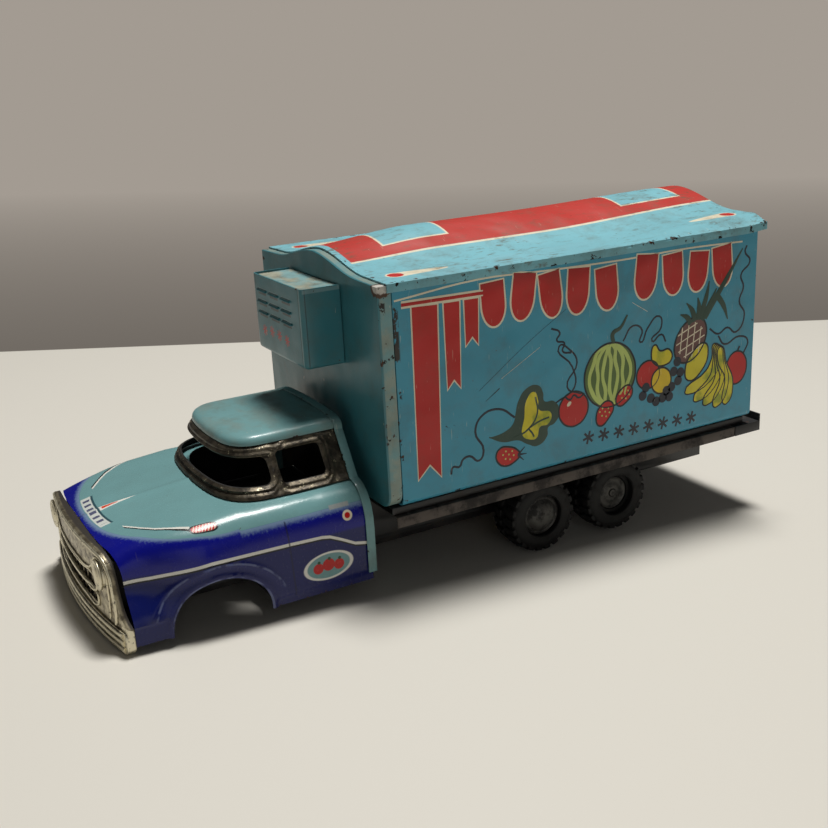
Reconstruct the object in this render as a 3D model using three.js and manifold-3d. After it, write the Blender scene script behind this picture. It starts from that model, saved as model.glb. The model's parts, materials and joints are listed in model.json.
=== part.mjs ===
// Push-along tin delivery truck: pressed cab, refrigerated box body and a friction motor on the middle axle.
// Millimetres. In the truck's own level frame +x is its left side, +y points to its rear from the front of the
// box, and z = 0 is the underside of the box walls. The whole truck is then tipped onto its nose, as it stands
// with its front wheels gone.
import * as THREE from 'three';
import { mergeVertices } from 'three/addons/utils/BufferGeometryUtils.js';
import Module from 'manifold-3d';

const wasm = await Module();
wasm.setup();

// Sheet and fits
const tin = 0.5;               // pressed sheet
const gap = 0.3;               // between pieces that touch
const running = 0.1;           // round a pin or shaft that turns

// Box body
const boxLength = 148;
const boxWidth = 86.6;
const eaveHeight = 69.3;       // top of the roof at its edge
const crownFront = 4.2;        // height of the raised band along the roof: at the front panel, then further back
const crownMiddle = 7.4;
const crownRear = 5.6;
const crownHalfWidth = 30;
const wingFall = 0.9;          // slope of the roof from the crown out to the eave
const shoulderRise = 3;        // the roof grows squarer towards the rear
const shoulderRound = 6.5;
const roofLip = 2.6;           // turned-down edge of the roof
const roofSetback = 3;         // the rim of the front panel shows ahead of the roof
const roofOverhang = 2.3;      // past the rear panel
const panRim = 4.5;            // folded edge of the front and rear panels
const panCorner = 5;
const panDrop = 0.7;           // top edge of the end panels below the roof sheet
const doorWidth = 54;
const doorSill = 8;
const doorHeight = 52;
const doorMargin = 2;          // door face past its opening
const hingePin = 0.6;          // radius
const hingeLength = 14;        // of the door's own knuckle
const knuckleLength = 3.5;     // of each fixed knuckle
const pullInset = 4;           // folded tab that opens the door
const pullReach = 2.5;
const pullLength = 9;

// Cooler unit on the front of the box
const coolerWidth = 38.4;
const coolerDepth = 13;
const coolerBottom = 41;
const coolerHeight = 25;
const louvreRows = 3;
const louvreColumns = 3;
const louvreLength = 7.2;
const louvreSpace = 2.4;
const louvreStart = -15.5;
const louvreDrop = 4.5;
const louvrePitch = 3.6;
const louvreReach = 0.7;

// Bed and chassis
const floorRim = 2.3;          // height of the black pan under the box
const floorInset = 1.7;        // that pan set in from the box sides
const railHeight = 3.6;        // turned-down edge of the bed
const railFront = 2.4;
const railStop = 7;            // the turned-down edge ends this far short of the box
const sillDepth = 12;
const sillStep = 2.6;          // the sill's rear edge stands up behind the box
const chassisWidth = 41;
const chassisFront = -79;
const chassisStop = 2;         // and the chassis this far
const wingHeight = -19.5;      // side plates of the chassis under the cab
const wingLip = 1.6;
const wingRear = -8.5;

// Cab
const cabBack = -4.5;          // rear face of the back panel
const bodyWidth = 80.6;
const bodyBottom = -22.3;
const beltHeight = 8.2;        // top of the pressed body under the windows
const noseEdge = -82.6;        // front edge of the bonnet at the centre line
const noseTop = 3.3;
const noseNarrowing = 0.15;    // how far the bonnet draws in at the nose, as a share of the width
const noseTurn = 2.8;          // the corners of the bonnet's front edge turn back this much
const noseBow = 4.2;           // the grille seen from above bows forward this much
const bonnetRear = -46;
const bonnetFall = 3.2;
const narrowFrom = -58;
const shoulderLow = -5;        // where the sides start to curve over
const foldHeight = -6;
const cabLedge = 3;            // body left inside the foot of the window frame
const frameBaseWidth = 62;
const frameTopWidth = 45.4;
const frameFront = -47.4;
const frameTopFront = -42.4;
const frameTop = 21.4;
const windowSill = 11.6;
const windowHead = 19.2;
const pillarFoot = -30.5;
const sideWindowFront = -28;
const sideWindowRear = -13.5;
const cabRoofWidth = 44.6;
const cabRoofFront = -41.6;
const cabRoofTop = 25.6;
const backRim = 2.8;
const backBottom = -19.5;
const archCentre = -54;
const archWidth = 30;
const archTop = -8.8;
const archRise = 12.2;

// Grille and bumper pressing
const grilleDepth = 3.2;
const bumperReach = 0.6;
const bumperBottom = -24.3;
const bumperTop = -17.2;
const lampRadius = 4;
const lampPlace = 27;
const lampHeight = -3.6;
const lampReach = 1.3;
const mouthWidth = 44;
const mouthSlots = [[-14.6, -11.2], [-9.8, -6.4]];

// Wheels and axles
const midAxle = 59;
const tyreSpace = 5;           // between the middle and rear tyres
const tyreRoom = 1.6;          // between the tyres and the bed
const axleRadius = 1.2;
const axleEdge = 2;            // chassis left below an axle
const tyreRadius = 13;
const tyreWidth = 12.5;
const treadDepth = 0.8;
const treadGroove = 2.7;       // between the two rows of lugs
const shoulderChamfer = 1.3;
const tyreSides = 32;
const tyreBore = 6;
const recessRadius = 7.2;
const recessDepth = 2.6;
const wheelFace = 40;          // outer face of the tyres, from the centre line
const hubTube = 2.6;
const wheelPlate = 1.8;

// Friction motor
const toothModule = 0.8;
const driveTeeth = 24;
const idlerTeeth = 22;
const pinionTeeth = 10;
const gearWidth = 3;
const motorWidth = 24;
const motorEdge = 1.9;         // bracket left below a shaft
const flywheelRadius = 9.5;
const flywheelWidth = 6;
const gearSpace = 1.5;
const motorEnd = 7;

// Heights and places that follow from these
const bedTop = -gap - floorRim - gap;
const bedUnder = bedTop - tin;
const axleHeight = bedUnder - tyreRoom - tyreRadius;
const rearAxle = midAxle + 2 * tyreRadius + tyreSpace;
const railRear = boxLength - railStop;

// How far the truck tips: the floor touches the lower front edge of the bumper and the middle tyres.
const noseReach = noseEdge - gap - grilleDepth - bumperReach;
const noseToAxle = Math.hypot(midAxle - noseReach, axleHeight - bumperBottom);
const pitch = Math.asin(tyreRadius / noseToAxle) - Math.atan2(axleHeight - bumperBottom, midAxle - noseReach);

// Helpers: outlines
const V2 = (x, y) => new THREE.Vector2(x, y);
const mirrored = (half) => [...half, ...half.filter((p) => p.x > 1e-6).reverse().map((p) => V2(-p.x, p.y))];
const rounded = (x0, y0, x1, y1, r) => {
  const s = new THREE.Shape();
  s.absarc(x1 - r, y0 + r, r, -Math.PI / 2, 0);
  s.absarc(x1 - r, y1 - r, r, 0, Math.PI / 2);
  s.absarc(x0 + r, y1 - r, r, Math.PI / 2, Math.PI);
  s.absarc(x0 + r, y0 + r, r, Math.PI, 1.5 * Math.PI);
  return s.getPoints(5);
};

// Moves an outline, listed anticlockwise, inwards by a distance (outwards if negative).
const inset = (points, distance) => points.map((p, i) => {
  const before = points[(i + points.length - 1) % points.length];
  const after = points[(i + 1) % points.length];
  const a = p.clone().sub(before).normalize();
  const b = after.clone().sub(p).normalize();
  const normal = V2(-a.y - b.y, a.x + b.x);
  return p.clone().addScaledVector(normal, (2 * distance) / normal.lengthSq());
});
const anticlockwise = (points) => (THREE.ShapeUtils.area(points) < 0 ? [...points].reverse() : points);

// Helpers: solids
function solid(geometry) {
  const plain = geometry.clone();
  plain.deleteAttribute('normal');
  plain.deleteAttribute('uv');
  const merged = mergeVertices(plain, 1e-4);
  const vertProperties = new Float32Array(merged.attributes.position.array);
  const triVerts = new Uint32Array(merged.index.array);
  const made = new wasm.Manifold(new wasm.Mesh({ numProp: 3, vertProperties, triVerts }));
  if (made.volume() > 0) return made;
  for (let i = 0; i < triVerts.length; i += 3) [triVerts[i], triVerts[i + 1]] = [triVerts[i + 1], triVerts[i]];
  return new wasm.Manifold(new wasm.Mesh({ numProp: 3, vertProperties, triVerts }));
}

const extruded = (points, depth, steps = 1) =>
  new THREE.ExtrudeGeometry(new THREE.Shape(anticlockwise(points)), { depth, steps, bevelEnabled: false });
const alongX = new THREE.Matrix4().makeBasis(
  new THREE.Vector3(0, 1, 0), new THREE.Vector3(0, 0, 1), new THREE.Vector3(1, 0, 0));

// An outline in x and y raised from z0 to z1; in x and z drawn from y0 to y1; in y and z drawn from x0 to x1.
const prismZ = (points, z0, z1) => solid(extruded(points, z1 - z0).translate(0, 0, z0));
const prismY = (points, y0, y1) => solid(extruded(points, y1 - y0).rotateX(Math.PI / 2).translate(0, y1, 0));
const prismX = (points, x0, x1) => solid(extruded(points, x1 - x0).applyMatrix4(alongX).translate(x0, 0, 0));
const block = (x0, x1, y0, y1, z0, z1) =>
  solid(new THREE.BoxGeometry(x1 - x0, y1 - y0, z1 - z0).translate((x0 + x1) / 2, (y0 + y1) / 2, (z0 + z1) / 2));

// A turned piece on an axle along x: the profile lists [radius, x], and closes on itself or ends on the axis.
const turned = (profile, y, z, segments = 28) =>
  solid(new THREE.LatheGeometry(profile.map(([r, x]) => V2(r, x)), segments).rotateZ(-Math.PI / 2)
    .translate(0, y, z));
const rod = (radius, x0, x1, y, z, segments = 20) =>
  turned([[0, x0], [radius, x0], [radius, x1], [0, x1]], y, z, segments);

function bent(geometry, rule) {
  const position = geometry.attributes.position;
  const p = new THREE.Vector3();
  for (let i = 0; i < position.count; i += 1) {
    p.fromBufferAttribute(position, i);
    rule(p);
    position.setXYZ(i, p.x, p.y, p.z);
  }
  return geometry;
}

// Materials
const paint = (color, roughness, metalness = 0.1) => new THREE.MeshStandardMaterial({ color, roughness, metalness });
const finish = {
  boxTeal: paint(0x3f7f92, 0.35),
  roofBlue: paint(0x8fbfc8, 0.5),
  cabTeal: paint(0x5c93a0, 0.35),
  navy: paint(0x16205f, 0.25),
  windowTin: paint(0x39342f, 0.55, 0.7),
  plated: paint(0x9c9486, 0.35, 0.9),
  black: paint(0x15161a, 0.6),
  bareRail: paint(0x6e6259, 0.55, 0.6),
  rubber: paint(0x1c1b1b, 0.85, 0),
  hub: paint(0x77756f, 0.45, 0.8),
  steel: paint(0x8a8880, 0.4, 0.9),
  brass: paint(0x9c8143, 0.4, 0.9),
};

const truck = new THREE.Group();
function add(name, material, made) {
  const { vertProperties, triVerts } = made.getMesh();
  const geometry = new THREE.BufferGeometry();
  geometry.setAttribute('position', new THREE.BufferAttribute(vertProperties, 3));
  geometry.setIndex(new THREE.BufferAttribute(triVerts, 1));
  geometry.computeVertexNormals();
  const mesh = new THREE.Mesh(geometry, material);
  mesh.name = name;
  truck.add(mesh);
}

// Box body
const ease = (t) => { const c = Math.min(Math.max(t, 0), 1); return c * c * (3 - 2 * c); };
const boxSide = boxWidth / 2;
const roofSide = boxSide + gap + tin;
function roofZ(x, y) {
  const across = Math.abs(x);
  const crown = (1 + Math.cos(Math.PI * Math.min(across / crownHalfWidth, 1))) / 2;
  const back = ease((2 * y) / boxLength - 1);
  const height = crownFront + (crownMiddle - crownFront) * ease((4 * y) / boxLength)
    + (crownRear - crownMiddle) * back;
  const shoulder = 1 - ease((across - roofSide + shoulderRound) / shoulderRound);
  return eaveHeight + wingFall * (1 - across / boxSide) + crown * height + shoulderRise * back * shoulder;
}

// Points across the roof from one side to the other, closer together at the eaves
const acrossRoof = (side, count = 20) =>
  Array.from({ length: count + 1 }, (_, i) => side * Math.cos((Math.PI * i) / count));

// Outline of an end panel: rounded lower corners, and a top that follows the roof at y.
function endOutline(side, low, y) {
  const corner = new THREE.Shape()
    .absarc(side - panCorner, low + panCorner, panCorner, -Math.PI / 2, 0).getPoints(5);
  return [...corner.map((p) => V2(-p.x, p.y)).reverse(), ...corner,
    ...acrossRoof(side).map((x) => V2(x, roofZ(x, y) - tin - panDrop))];
}
const frontOutline = endOutline(boxSide, 0, 0);
add('box_front_panel', finish.boxTeal,
  prismY(frontOutline, 0, panRim).subtract(prismY(inset(frontOutline, tin), tin, panRim + 1)));

const wallFront = panRim + gap;
const wallTop = eaveHeight - tin - gap;
for (const [name, side] of [['box_left_wall', 1], ['box_right_wall', -1]]) {
  const wall = [V2(boxSide - panRim, 0), V2(boxSide, 0), V2(boxSide, wallTop), V2(boxSide - tin, wallTop),
    V2(boxSide - tin, tin), V2(boxSide - panRim, tin)];
  add(name, finish.boxTeal, prismY(wall.map((p) => V2(side * p.x, p.y)), wallFront, boxLength));
}

// Roof: a raised skin with its edge turned down at both sides and at the rear.
const roofRear = boxLength + roofOverhang;
function roofSlab(side, top, low, y0, y1) {
  const plank = new THREE.BoxGeometry(2, y1 - y0, 1, 20, 9, 1).translate(0, (y0 + y1) / 2, 0);
  return solid(bent(plank, (p) => {
    p.x = side * Math.sin((p.x * Math.PI) / 2);
    p.z = roofZ(p.x, p.y) - (p.z > 0 ? top : low);
  }));
}
add('box_roof', finish.roofBlue, roofSlab(roofSide, 0, roofLip, roofSetback, roofRear)
  .subtract(roofSlab(roofSide - tin, tin, 2 * roofLip, roofSetback - 2, roofRear - tin)));

// Rear panel and its door: the door closes over the opening, on a vertical pin at its right-hand edge.
const leafSide = doorWidth / 2 + doorMargin;
const leafLow = doorSill - doorMargin;
const leafHigh = doorSill + doorHeight + doorMargin;
const knuckleBore = hingePin + running;
const knuckleRadius = knuckleBore + tin;
const hingeX = -leafSide - gap - knuckleRadius;
const hingeY = boxLength + gap + knuckleRadius;
const hingeMiddle = (leafLow + leafHigh) / 2;
const upright = (radius, z0, z1) => solid(new THREE.CylinderGeometry(radius, radius, z1 - z0, 16)
  .rotateX(Math.PI / 2).translate(hingeX, hingeY, (z0 + z1) / 2));

const rearOutline = endOutline(boxSide - tin - gap, tin + gap, boxLength);
let rearPanel = prismY(rearOutline, boxLength - panRim, boxLength)
  .subtract(prismY(inset(rearOutline, tin), boxLength - panRim - 1, boxLength - tin))
  .subtract(prismY(rounded(-doorWidth / 2, doorSill, doorWidth / 2, doorSill + doorHeight, 3),
    boxLength - 2 * tin, boxLength + tin));
for (const end of [-1, 1]) {
  const near = hingeMiddle + end * (hingeLength / 2 + gap);
  const [z0, z1] = [near, near + end * knuckleLength].sort((a, b) => a - b);
  rearPanel = rearPanel.add(upright(knuckleRadius, z0, z1))
    .add(block(hingeX - 2 * knuckleRadius, hingeX, boxLength - tin / 2, boxLength + gap + tin, z0, z1));
}
const pinLow = hingeMiddle - hingeLength / 2 - gap - knuckleLength;
const pinHigh = hingeMiddle + hingeLength / 2 + gap + knuckleLength;
add('box_rear_panel', finish.boxTeal, rearPanel.subtract(upright(knuckleBore, pinLow - 1, pinHigh + 1)));
add('door_hinge_pin', finish.steel, upright(hingePin, pinLow, pinHigh));

const leafFront = boxLength + gap;
const [knuckleLow, knuckleHigh] = [hingeMiddle - hingeLength / 2, hingeMiddle + hingeLength / 2];
add('rear_door', finish.boxTeal,
  prismY(rounded(-leafSide, leafLow, leafSide, leafHigh, 2), leafFront, leafFront + tin)
    .add(block(hingeX, -leafSide + 1, leafFront, leafFront + tin, knuckleLow, knuckleHigh))
    .add(upright(knuckleRadius, knuckleLow, knuckleHigh))
    .add(block(leafSide - pullInset - tin, leafSide - pullInset, leafFront + tin / 2, leafFront + tin + pullReach,
      hingeMiddle - pullLength / 2, hingeMiddle + pullLength / 2))
    .subtract(upright(knuckleBore, knuckleLow - 1, knuckleHigh + 1)));

// Cooler: an open-backed case on the front panel, a lid let into its top and pressed louvres.
const coolerSide = coolerWidth / 2;
const coolerFront = -gap - coolerDepth;
const coolerTop = coolerBottom + coolerHeight;
let coolerCase = block(-coolerSide, coolerSide, coolerFront, -gap, coolerBottom, coolerTop)
  .subtract(block(tin - coolerSide, coolerSide - tin, coolerFront + tin, tin, coolerBottom + tin, coolerTop + tin));
for (let row = 0; row < louvreRows; row += 1) {
  for (let column = 0; column < louvreColumns; column += 1) {
    const x = louvreStart + column * (louvreLength + louvreSpace);
    const z = coolerTop - louvreDrop - row * louvrePitch;
    const slat = [V2(coolerFront + tin / 2, z), V2(coolerFront - louvreReach, z - louvreReach)];
    slat.push(V2(coolerFront + tin / 2, z - 2 * louvreReach));
    coolerCase = coolerCase.add(prismX(slat, x, x + louvreLength));
  }
}
add('cooler_case', finish.boxTeal, coolerCase);
add('cooler_lid', finish.roofBlue, block(tin + gap - coolerSide, coolerSide - tin - gap, coolerFront + tin + gap, -gap,
  coolerTop - tin - gap, coolerTop - gap));

// Bed: a black pan under the box, then the bed sheet whose turned-down edges show as the side rails.
const tray = (x, y0, y1, top, height) => block(-x, x, y0, y1, top - height, top)
  .subtract(block(tin - x, x - tin, y0 - 1, y1 + 1, top - height - 1, top - tin));
const floorSide = boxSide - floorInset;
add('box_floor', finish.black, tray(floorSide, floorInset, boxLength - floorInset, -gap, floorRim));
add('bed_sheet', finish.bareRail, tray(boxSide, railFront, railRear, bedTop, railHeight));
const sillFront = railRear + gap;
add('rear_sill', finish.black, tray(boxSide, sillFront, sillFront + sillDepth, bedTop, railHeight)
  .add(block(-boxSide, boxSide, sillFront + sillDepth - tin, sillFront + sillDepth, bedTop - railHeight,
    bedTop + sillStep)));

// Chassis: one long channel, with plates folded out of it under the cab and room between them for wheels.
const chassisSide = chassisWidth / 2;
const chassisTop = bedUnder - gap;
const chassisLow = axleHeight - axleRadius - axleEdge;
const chassisRear = boxLength - chassisStop;
const bodySide = bodyWidth / 2;
const wingSide = bodySide - tin - gap;
const axleHole = (y, radius) => rod(radius, -boxSide, boxSide, y, axleHeight);
let chassis = block(-chassisSide, chassisSide, chassisFront, chassisRear, chassisLow, chassisTop)
  .subtract(block(tin - chassisSide, chassisSide - tin, chassisFront - 1, chassisRear + 1, chassisLow - 1,
    chassisTop - tin));
const wingEnds = [[chassisFront, archCentre - archWidth / 2 - gap], [archCentre + archWidth / 2 + gap, wingRear]];
for (const [y0, y1] of wingEnds) {
  for (const side of [-1, 1]) {
    const [x0, x1] = [side * (chassisSide - tin), side * wingSide].sort((a, b) => a - b);
    const lip = [side * (wingSide - tin), side * wingSide].sort((a, b) => a - b);
    chassis = chassis.add(block(x0, x1, y0, y1, wingHeight, wingHeight + tin))
      .add(block(lip[0], lip[1], y0, y1, wingHeight - wingLip, wingHeight + tin));
  }
}
for (const y of [archCentre, midAxle, rearAxle]) chassis = chassis.subtract(axleHole(y, axleRadius + running));
add('chassis', finish.black, chassis);

// Cab body: an arched section drawn out along the truck, then bent. Towards the nose the bonnet falls,
// its sides draw in above the bumper and the front edge bows forward.
const bodyRear = cabBack - tin - gap;
const shoulder = new THREE.Shape();
shoulder.moveTo(bodySide, bodyBottom);
for (const z of [-17, -13, -9, shoulderLow]) shoulder.lineTo(bodySide, z);
shoulder.bezierCurveTo(bodySide, 3.5, bodySide - 3.8, beltHeight - 0.8, frameBaseWidth / 2 + 0.5, beltHeight - 0.2);
shoulder.lineTo(0, beltHeight);
const bodyHalf = shoulder.getPoints(7);
const bodySection = anticlockwise(mirrored(bodyHalf));
const noseBack = (x) => noseTurn * (x / bodySide) ** 4;
function bonnet(p) {
  const along = Math.min(Math.max((bonnetRear - p.y) / (bonnetRear - noseEdge), 0), 1);
  const top = beltHeight - bonnetFall * along - (beltHeight - bonnetFall - noseTop) * along ** 6;
  const narrowing = noseNarrowing * ease((narrowFrom - p.y) / (narrowFrom - noseEdge))
    * ease((p.z - bodyBottom - 5) / 12);
  p.y += noseBack(p.x) * Math.min((bodyRear - p.y) / (bodyRear - noseEdge), 1);
  p.x *= 1 - narrowing;
  if (p.z > foldHeight) p.z = foldHeight + ((p.z - foldHeight) * (top - foldHeight)) / (beltHeight - foldHeight);
}
const bodySteps = 14;
const bodyStep = (bodyRear - noseEdge) / bodySteps;
function drawnOut(points, spare) {
  const [y0, y1] = [noseEdge - spare * bodyStep, bodyRear + spare * bodyStep];
  const length = extruded(points, y1 - y0, bodySteps + 2 * spare);
  return solid(bent(length.rotateX(Math.PI / 2).translate(0, y1, 0), bonnet));
}

// Outline of the window frame's foot, seen from above
const footSide = frameBaseWidth / 2;
const foot = new THREE.Shape();
foot.moveTo(0, frameFront);
foot.quadraticCurveTo(6, frameFront, 12, frameFront + 0.5);
foot.bezierCurveTo(24, frameFront + 1.5, footSide, frameFront + 5, footSide, frameFront + 16);
foot.lineTo(footSide, bodyRear);
const footOutline = mirrored(foot.getPoints(6));

const arch = [V2(archCentre + archWidth / 2, bodyBottom - 1)];
const archSpring = archTop - archRise;
for (let i = 0; i <= 14; i += 1) {
  const turn = (Math.PI * i) / 14;
  arch.push(V2(archCentre + (archWidth / 2) * Math.cos(turn), archSpring + archRise * Math.sin(turn)));
}
arch.push(V2(archCentre - archWidth / 2, bodyBottom - 1));
const bodyInside = inset(bodySection, tin).map((p) => V2(p.x, p.y < bodyBottom + 2 * tin ? bodyBottom - 2 : p.y));
add('cab_body', finish.navy, drawnOut(bodySection, 0)
  .subtract(drawnOut(bodyInside, 1))
  .subtract(prismX(arch, -boxSide, boxSide))
  .subtract(prismZ(inset(footOutline, cabLedge), 0, frameTop)));

// Window frame: a wall that leans in and back from its foot to the roof, with a wrap-round windscreen.
const frameFoot = beltHeight + gap;
function leaning(p) {
  const up = (p.z - frameFoot) / (frameTop - frameFoot);
  p.x *= 1 + up * (frameTopWidth / frameBaseWidth - 1);
  p.y = bodyRear + (p.y - bodyRear) * (1 + up * ((frameTopFront - bodyRear) / (frameFront - bodyRear) - 1));
}
const leaningWall = (points, z0, z1) => solid(bent(extruded(points, z1 - z0).translate(0, 0, z0), leaning));
const screen = new THREE.Shape();
screen.moveTo(frameFront - 5, windowSill);
screen.lineTo(pillarFoot - 2, windowSill);
screen.quadraticCurveTo(pillarFoot, windowSill, pillarFoot - 0.4, windowSill + 2);
screen.lineTo(pillarFoot - 2.6, windowHead - 1.5);
screen.quadraticCurveTo(pillarFoot - 3, windowHead, pillarFoot - 4.5, windowHead);
screen.lineTo(frameFront - 5, windowHead);
add('window_frame', finish.windowTin, leaningWall(footOutline, frameFoot, frameTop)
  .subtract(leaningWall(inset(footOutline, tin), frameFoot - 1, frameTop + 1))
  .subtract(prismX(screen.getPoints(4), -boxSide, boxSide))
  .subtract(prismX(rounded(sideWindowFront, windowSill - 0.6, sideWindowRear, windowHead + 0.6, 1.6), -boxSide,
    boxSide)));

// Cab roof: crowned, with rounded corners, open underneath.
const roofHalf = cabRoofWidth / 2;
const cabRoofFoot = frameTop + gap;
const above = new THREE.Shape();
above.moveTo(0, cabRoofFront);
above.quadraticCurveTo(7, cabRoofFront, 13, cabRoofFront + 0.9);
above.bezierCurveTo(19, cabRoofFront + 2, roofHalf, cabRoofFront + 5, roofHalf, cabRoofFront + 11);
above.lineTo(roofHalf, bodyRear);
const aboveOutline = mirrored(above.getPoints(6));
const across = new THREE.Shape();
across.moveTo(roofHalf, cabRoofFoot);
across.lineTo(roofHalf, cabRoofFoot + 0.9);
across.bezierCurveTo(roofHalf - 0.2, cabRoofTop - 1.4, roofHalf - 2, cabRoofTop - 0.8, roofHalf - 6, cabRoofTop - 0.5);
across.quadraticCurveTo(8, cabRoofTop, 0, cabRoofTop);
const acrossHalf = across.getPoints(6);
const beside = new THREE.Shape();
beside.moveTo(cabRoofFront, cabRoofFoot);
beside.lineTo(cabRoofFront, cabRoofFoot + 0.8);
beside.bezierCurveTo(cabRoofFront + 0.4, cabRoofTop - 1.2, cabRoofFront + 3, cabRoofTop - 0.1, cabRoofFront + 9,
  cabRoofTop);
beside.lineTo(bodyRear, cabRoofTop);
beside.lineTo(bodyRear, cabRoofFoot);
function cabRoofForm(shrink, lower) {
  const sink = (points) => inset(anticlockwise(points), shrink)
    .map((p) => V2(p.x, p.y < cabRoofFoot + shrink + 0.05 ? cabRoofFoot - lower : p.y));
  return prismZ(inset(aboveOutline, shrink), cabRoofFoot - lower, cabRoofTop + 1)
    .intersect(prismY(sink(mirrored(acrossHalf)), cabRoofFront - 5, bodyRear + 5))
    .intersect(prismX(sink(beside.getPoints(6)), -boxSide, boxSide));
}
add('cab_roof', finish.cabTeal, cabRoofForm(0, 0).subtract(cabRoofForm(tin, 1)));

// Cab back panel: its rim folds forward round the rear edge of body, windows and roof, and it straddles the chassis.
const backHalf = [V2(0, bodyBottom), ...bodyHalf.filter((p) => p.x > footSide), V2(footSide, frameFoot),
  V2(frameTopWidth / 2, frameTop), ...acrossHalf];
const backOutline = inset(anticlockwise(mirrored(backHalf)), -(gap + tin));
add('cab_back_panel', finish.cabTeal, prismY(backOutline, cabBack - backRim, cabBack)
  .subtract(prismY(inset(backOutline, tin), cabBack - backRim - 1, cabBack - tin))
  .subtract(block(-boxSide, boxSide, cabBack - backRim - 1, cabBack + 1, bodyBottom - 5, backBottom))
  .subtract(block(-chassisSide - gap, chassisSide + gap, cabBack - backRim - 1, cabBack + 1, backBottom - 1,
    chassisTop + gap)));

// Grille and bumper: one bowed pressing with its edge folded back to meet the bonnet.
const grilleFront = noseEdge - gap - grilleDepth;
const bow = (x) => noseBow * (x / bodySide) ** 2;
const bowed = (front, back) => {
  const xs = Array.from({ length: 13 }, (_, i) => (bodySide + 1) * (1 - (2 * i) / 12));
  return [...xs.map((x) => V2(x, noseEdge - gap + back + noseBack(x))),
    ...xs.reverse().map((x) => V2(x, front + bow(x)))];
};
const shieldHalf = new THREE.Shape();
shieldHalf.moveTo(0, bumperBottom);
shieldHalf.lineTo(bodySide - 8, bumperBottom);
shieldHalf.quadraticCurveTo(bodySide, bumperBottom, bodySide, bumperTop - 3);
shieldHalf.lineTo(bodySide, bumperTop + 1);
shieldHalf.quadraticCurveTo(bodySide - 3.8, -14, bodySide - 4.7, -9);
shieldHalf.lineTo(bodySide - 5.7, -4);
shieldHalf.bezierCurveTo(bodySide - 6.3, 1.5, bodySide - 9.3, noseTop, bodySide - 15.3, noseTop + 0.2);
shieldHalf.lineTo(0, noseTop + tin);
const shield = anticlockwise(mirrored(shieldHalf.getPoints(4)));
const bumperBar = rounded(-bodySide, bumperBottom, bodySide, bumperTop, 2.4);
const pressing = (shrink, back) => prismY(inset(shield, shrink), grilleFront - 5, noseEdge + 9)
  .intersect(prismZ(bowed(grilleFront + shrink, back), bumperBottom - 5, 10))
  .add(prismY(inset(bumperBar, shrink), grilleFront - 5, noseEdge + 9)
    .intersect(prismZ(bowed(grilleFront - bumperReach + shrink, back), bumperBottom - 5, 10)));
let grille = pressing(0, 0).subtract(pressing(tin, 3));
for (const side of [-1, 1]) {
  const lampFront = grilleFront + bow(lampPlace);
  grille = grille.add(solid(new THREE.CylinderGeometry(lampRadius, lampRadius, 2 * lampReach, 20)
    .translate(side * lampPlace, lampFront, lampHeight)));
}
for (const [low, high] of mouthSlots) {
  grille = grille.subtract(prismY(rounded(-mouthWidth / 2, low, mouthWidth / 2, high, 1.2), grilleFront - 5,
    noseEdge + 9));
}
add('grille_and_bumper', finish.plated, grille);

// Axles and wheels
function toothed(teeth, tip, root, tipShare, rootShare, phase = 0) {
  const points = [];
  for (let i = 0; i < teeth; i += 1) {
    for (const [radius, share] of [[root, -rootShare], [tip, -tipShare], [tip, tipShare], [root, rootShare]]) {
      const turn = phase + (2 * Math.PI * (i + share / 2)) / teeth;
      points.push(V2(radius * Math.cos(turn), radius * Math.sin(turn)));
    }
  }
  return points;
}
const placedX = (points, x0, x1, y) => prismX(points, x0, x1).translate([0, y, axleHeight]);
const tyreInner = wheelFace - tyreWidth;
const hubFace = wheelFace - recessDepth;
const tyreMiddle = (tyreInner + wheelFace) / 2;
function tyre(side, y) {
  const profile = [[tyreBore, tyreInner], [tyreRadius - 2 * shoulderChamfer, tyreInner],
    [tyreRadius, tyreInner + shoulderChamfer], [tyreRadius, tyreMiddle - treadGroove / 2],
    [tyreRadius - treadDepth, tyreMiddle - treadGroove / 2], [tyreRadius - treadDepth, tyreMiddle + treadGroove / 2],
    [tyreRadius, tyreMiddle + treadGroove / 2], [tyreRadius, wheelFace - shoulderChamfer],
    [tyreRadius - 2 * shoulderChamfer, wheelFace], [recessRadius, wheelFace], [recessRadius, hubFace],
    [tyreBore, hubFace], [tyreBore, tyreInner]];
  return turned(profile.map(([r, x]) => [r, side * x]), y, axleHeight, tyreSides);
}
const ring = (inner, outer, x0, x1, y, segments = 24) =>
  turned([[inner, x0], [outer, x0], [outer, x1], [inner, x1], [inner, x0]], y, axleHeight, segments);
for (const [axle, y] of [['middle', midAxle], ['rear', rearAxle]]) {
  add(`${axle}_axle`, finish.steel, rod(axleRadius, -hubFace, hubFace, y, axleHeight));
  for (const [hand, side] of [['left', 1], ['right', -1]]) {
    add(`${axle}_${hand}_tyre`, finish.rubber, tyre(side, y));
    const plate = hubFace - wheelPlate;
    const bore = axleRadius + gap;
    const spool = [[bore, tyreInner], [hubTube, tyreInner], [hubTube, plate], [tyreBore - gap, plate],
      [tyreBore - gap, hubFace - gap], [bore, hubFace - gap], [bore, tyreInner]];
    add(`${axle}_${hand}_wheel`, finish.hub, turned(spool.map(([r, x]) => [r, side * x]), y, axleHeight));
    add(`${axle}_${hand}_bush`, finish.steel,
      ring(bore, hubTube, side * (chassisSide + gap), side * (tyreInner - gap), y, 16));
    if (axle === 'middle') {
      const cap = [[0, hubFace + gap], [recessRadius - gap, hubFace + gap], [recessRadius - gap, hubFace + 1],
        [recessRadius - 1.7, wheelFace - 0.3], [2.8, wheelFace + 0.5], [0, wheelFace + 0.7]];
      add(`${hand}_hubcap`, finish.hub, turned(cap.map(([r, x]) => [r, side * x]), y, axleHeight));
    }
  }
}

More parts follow.
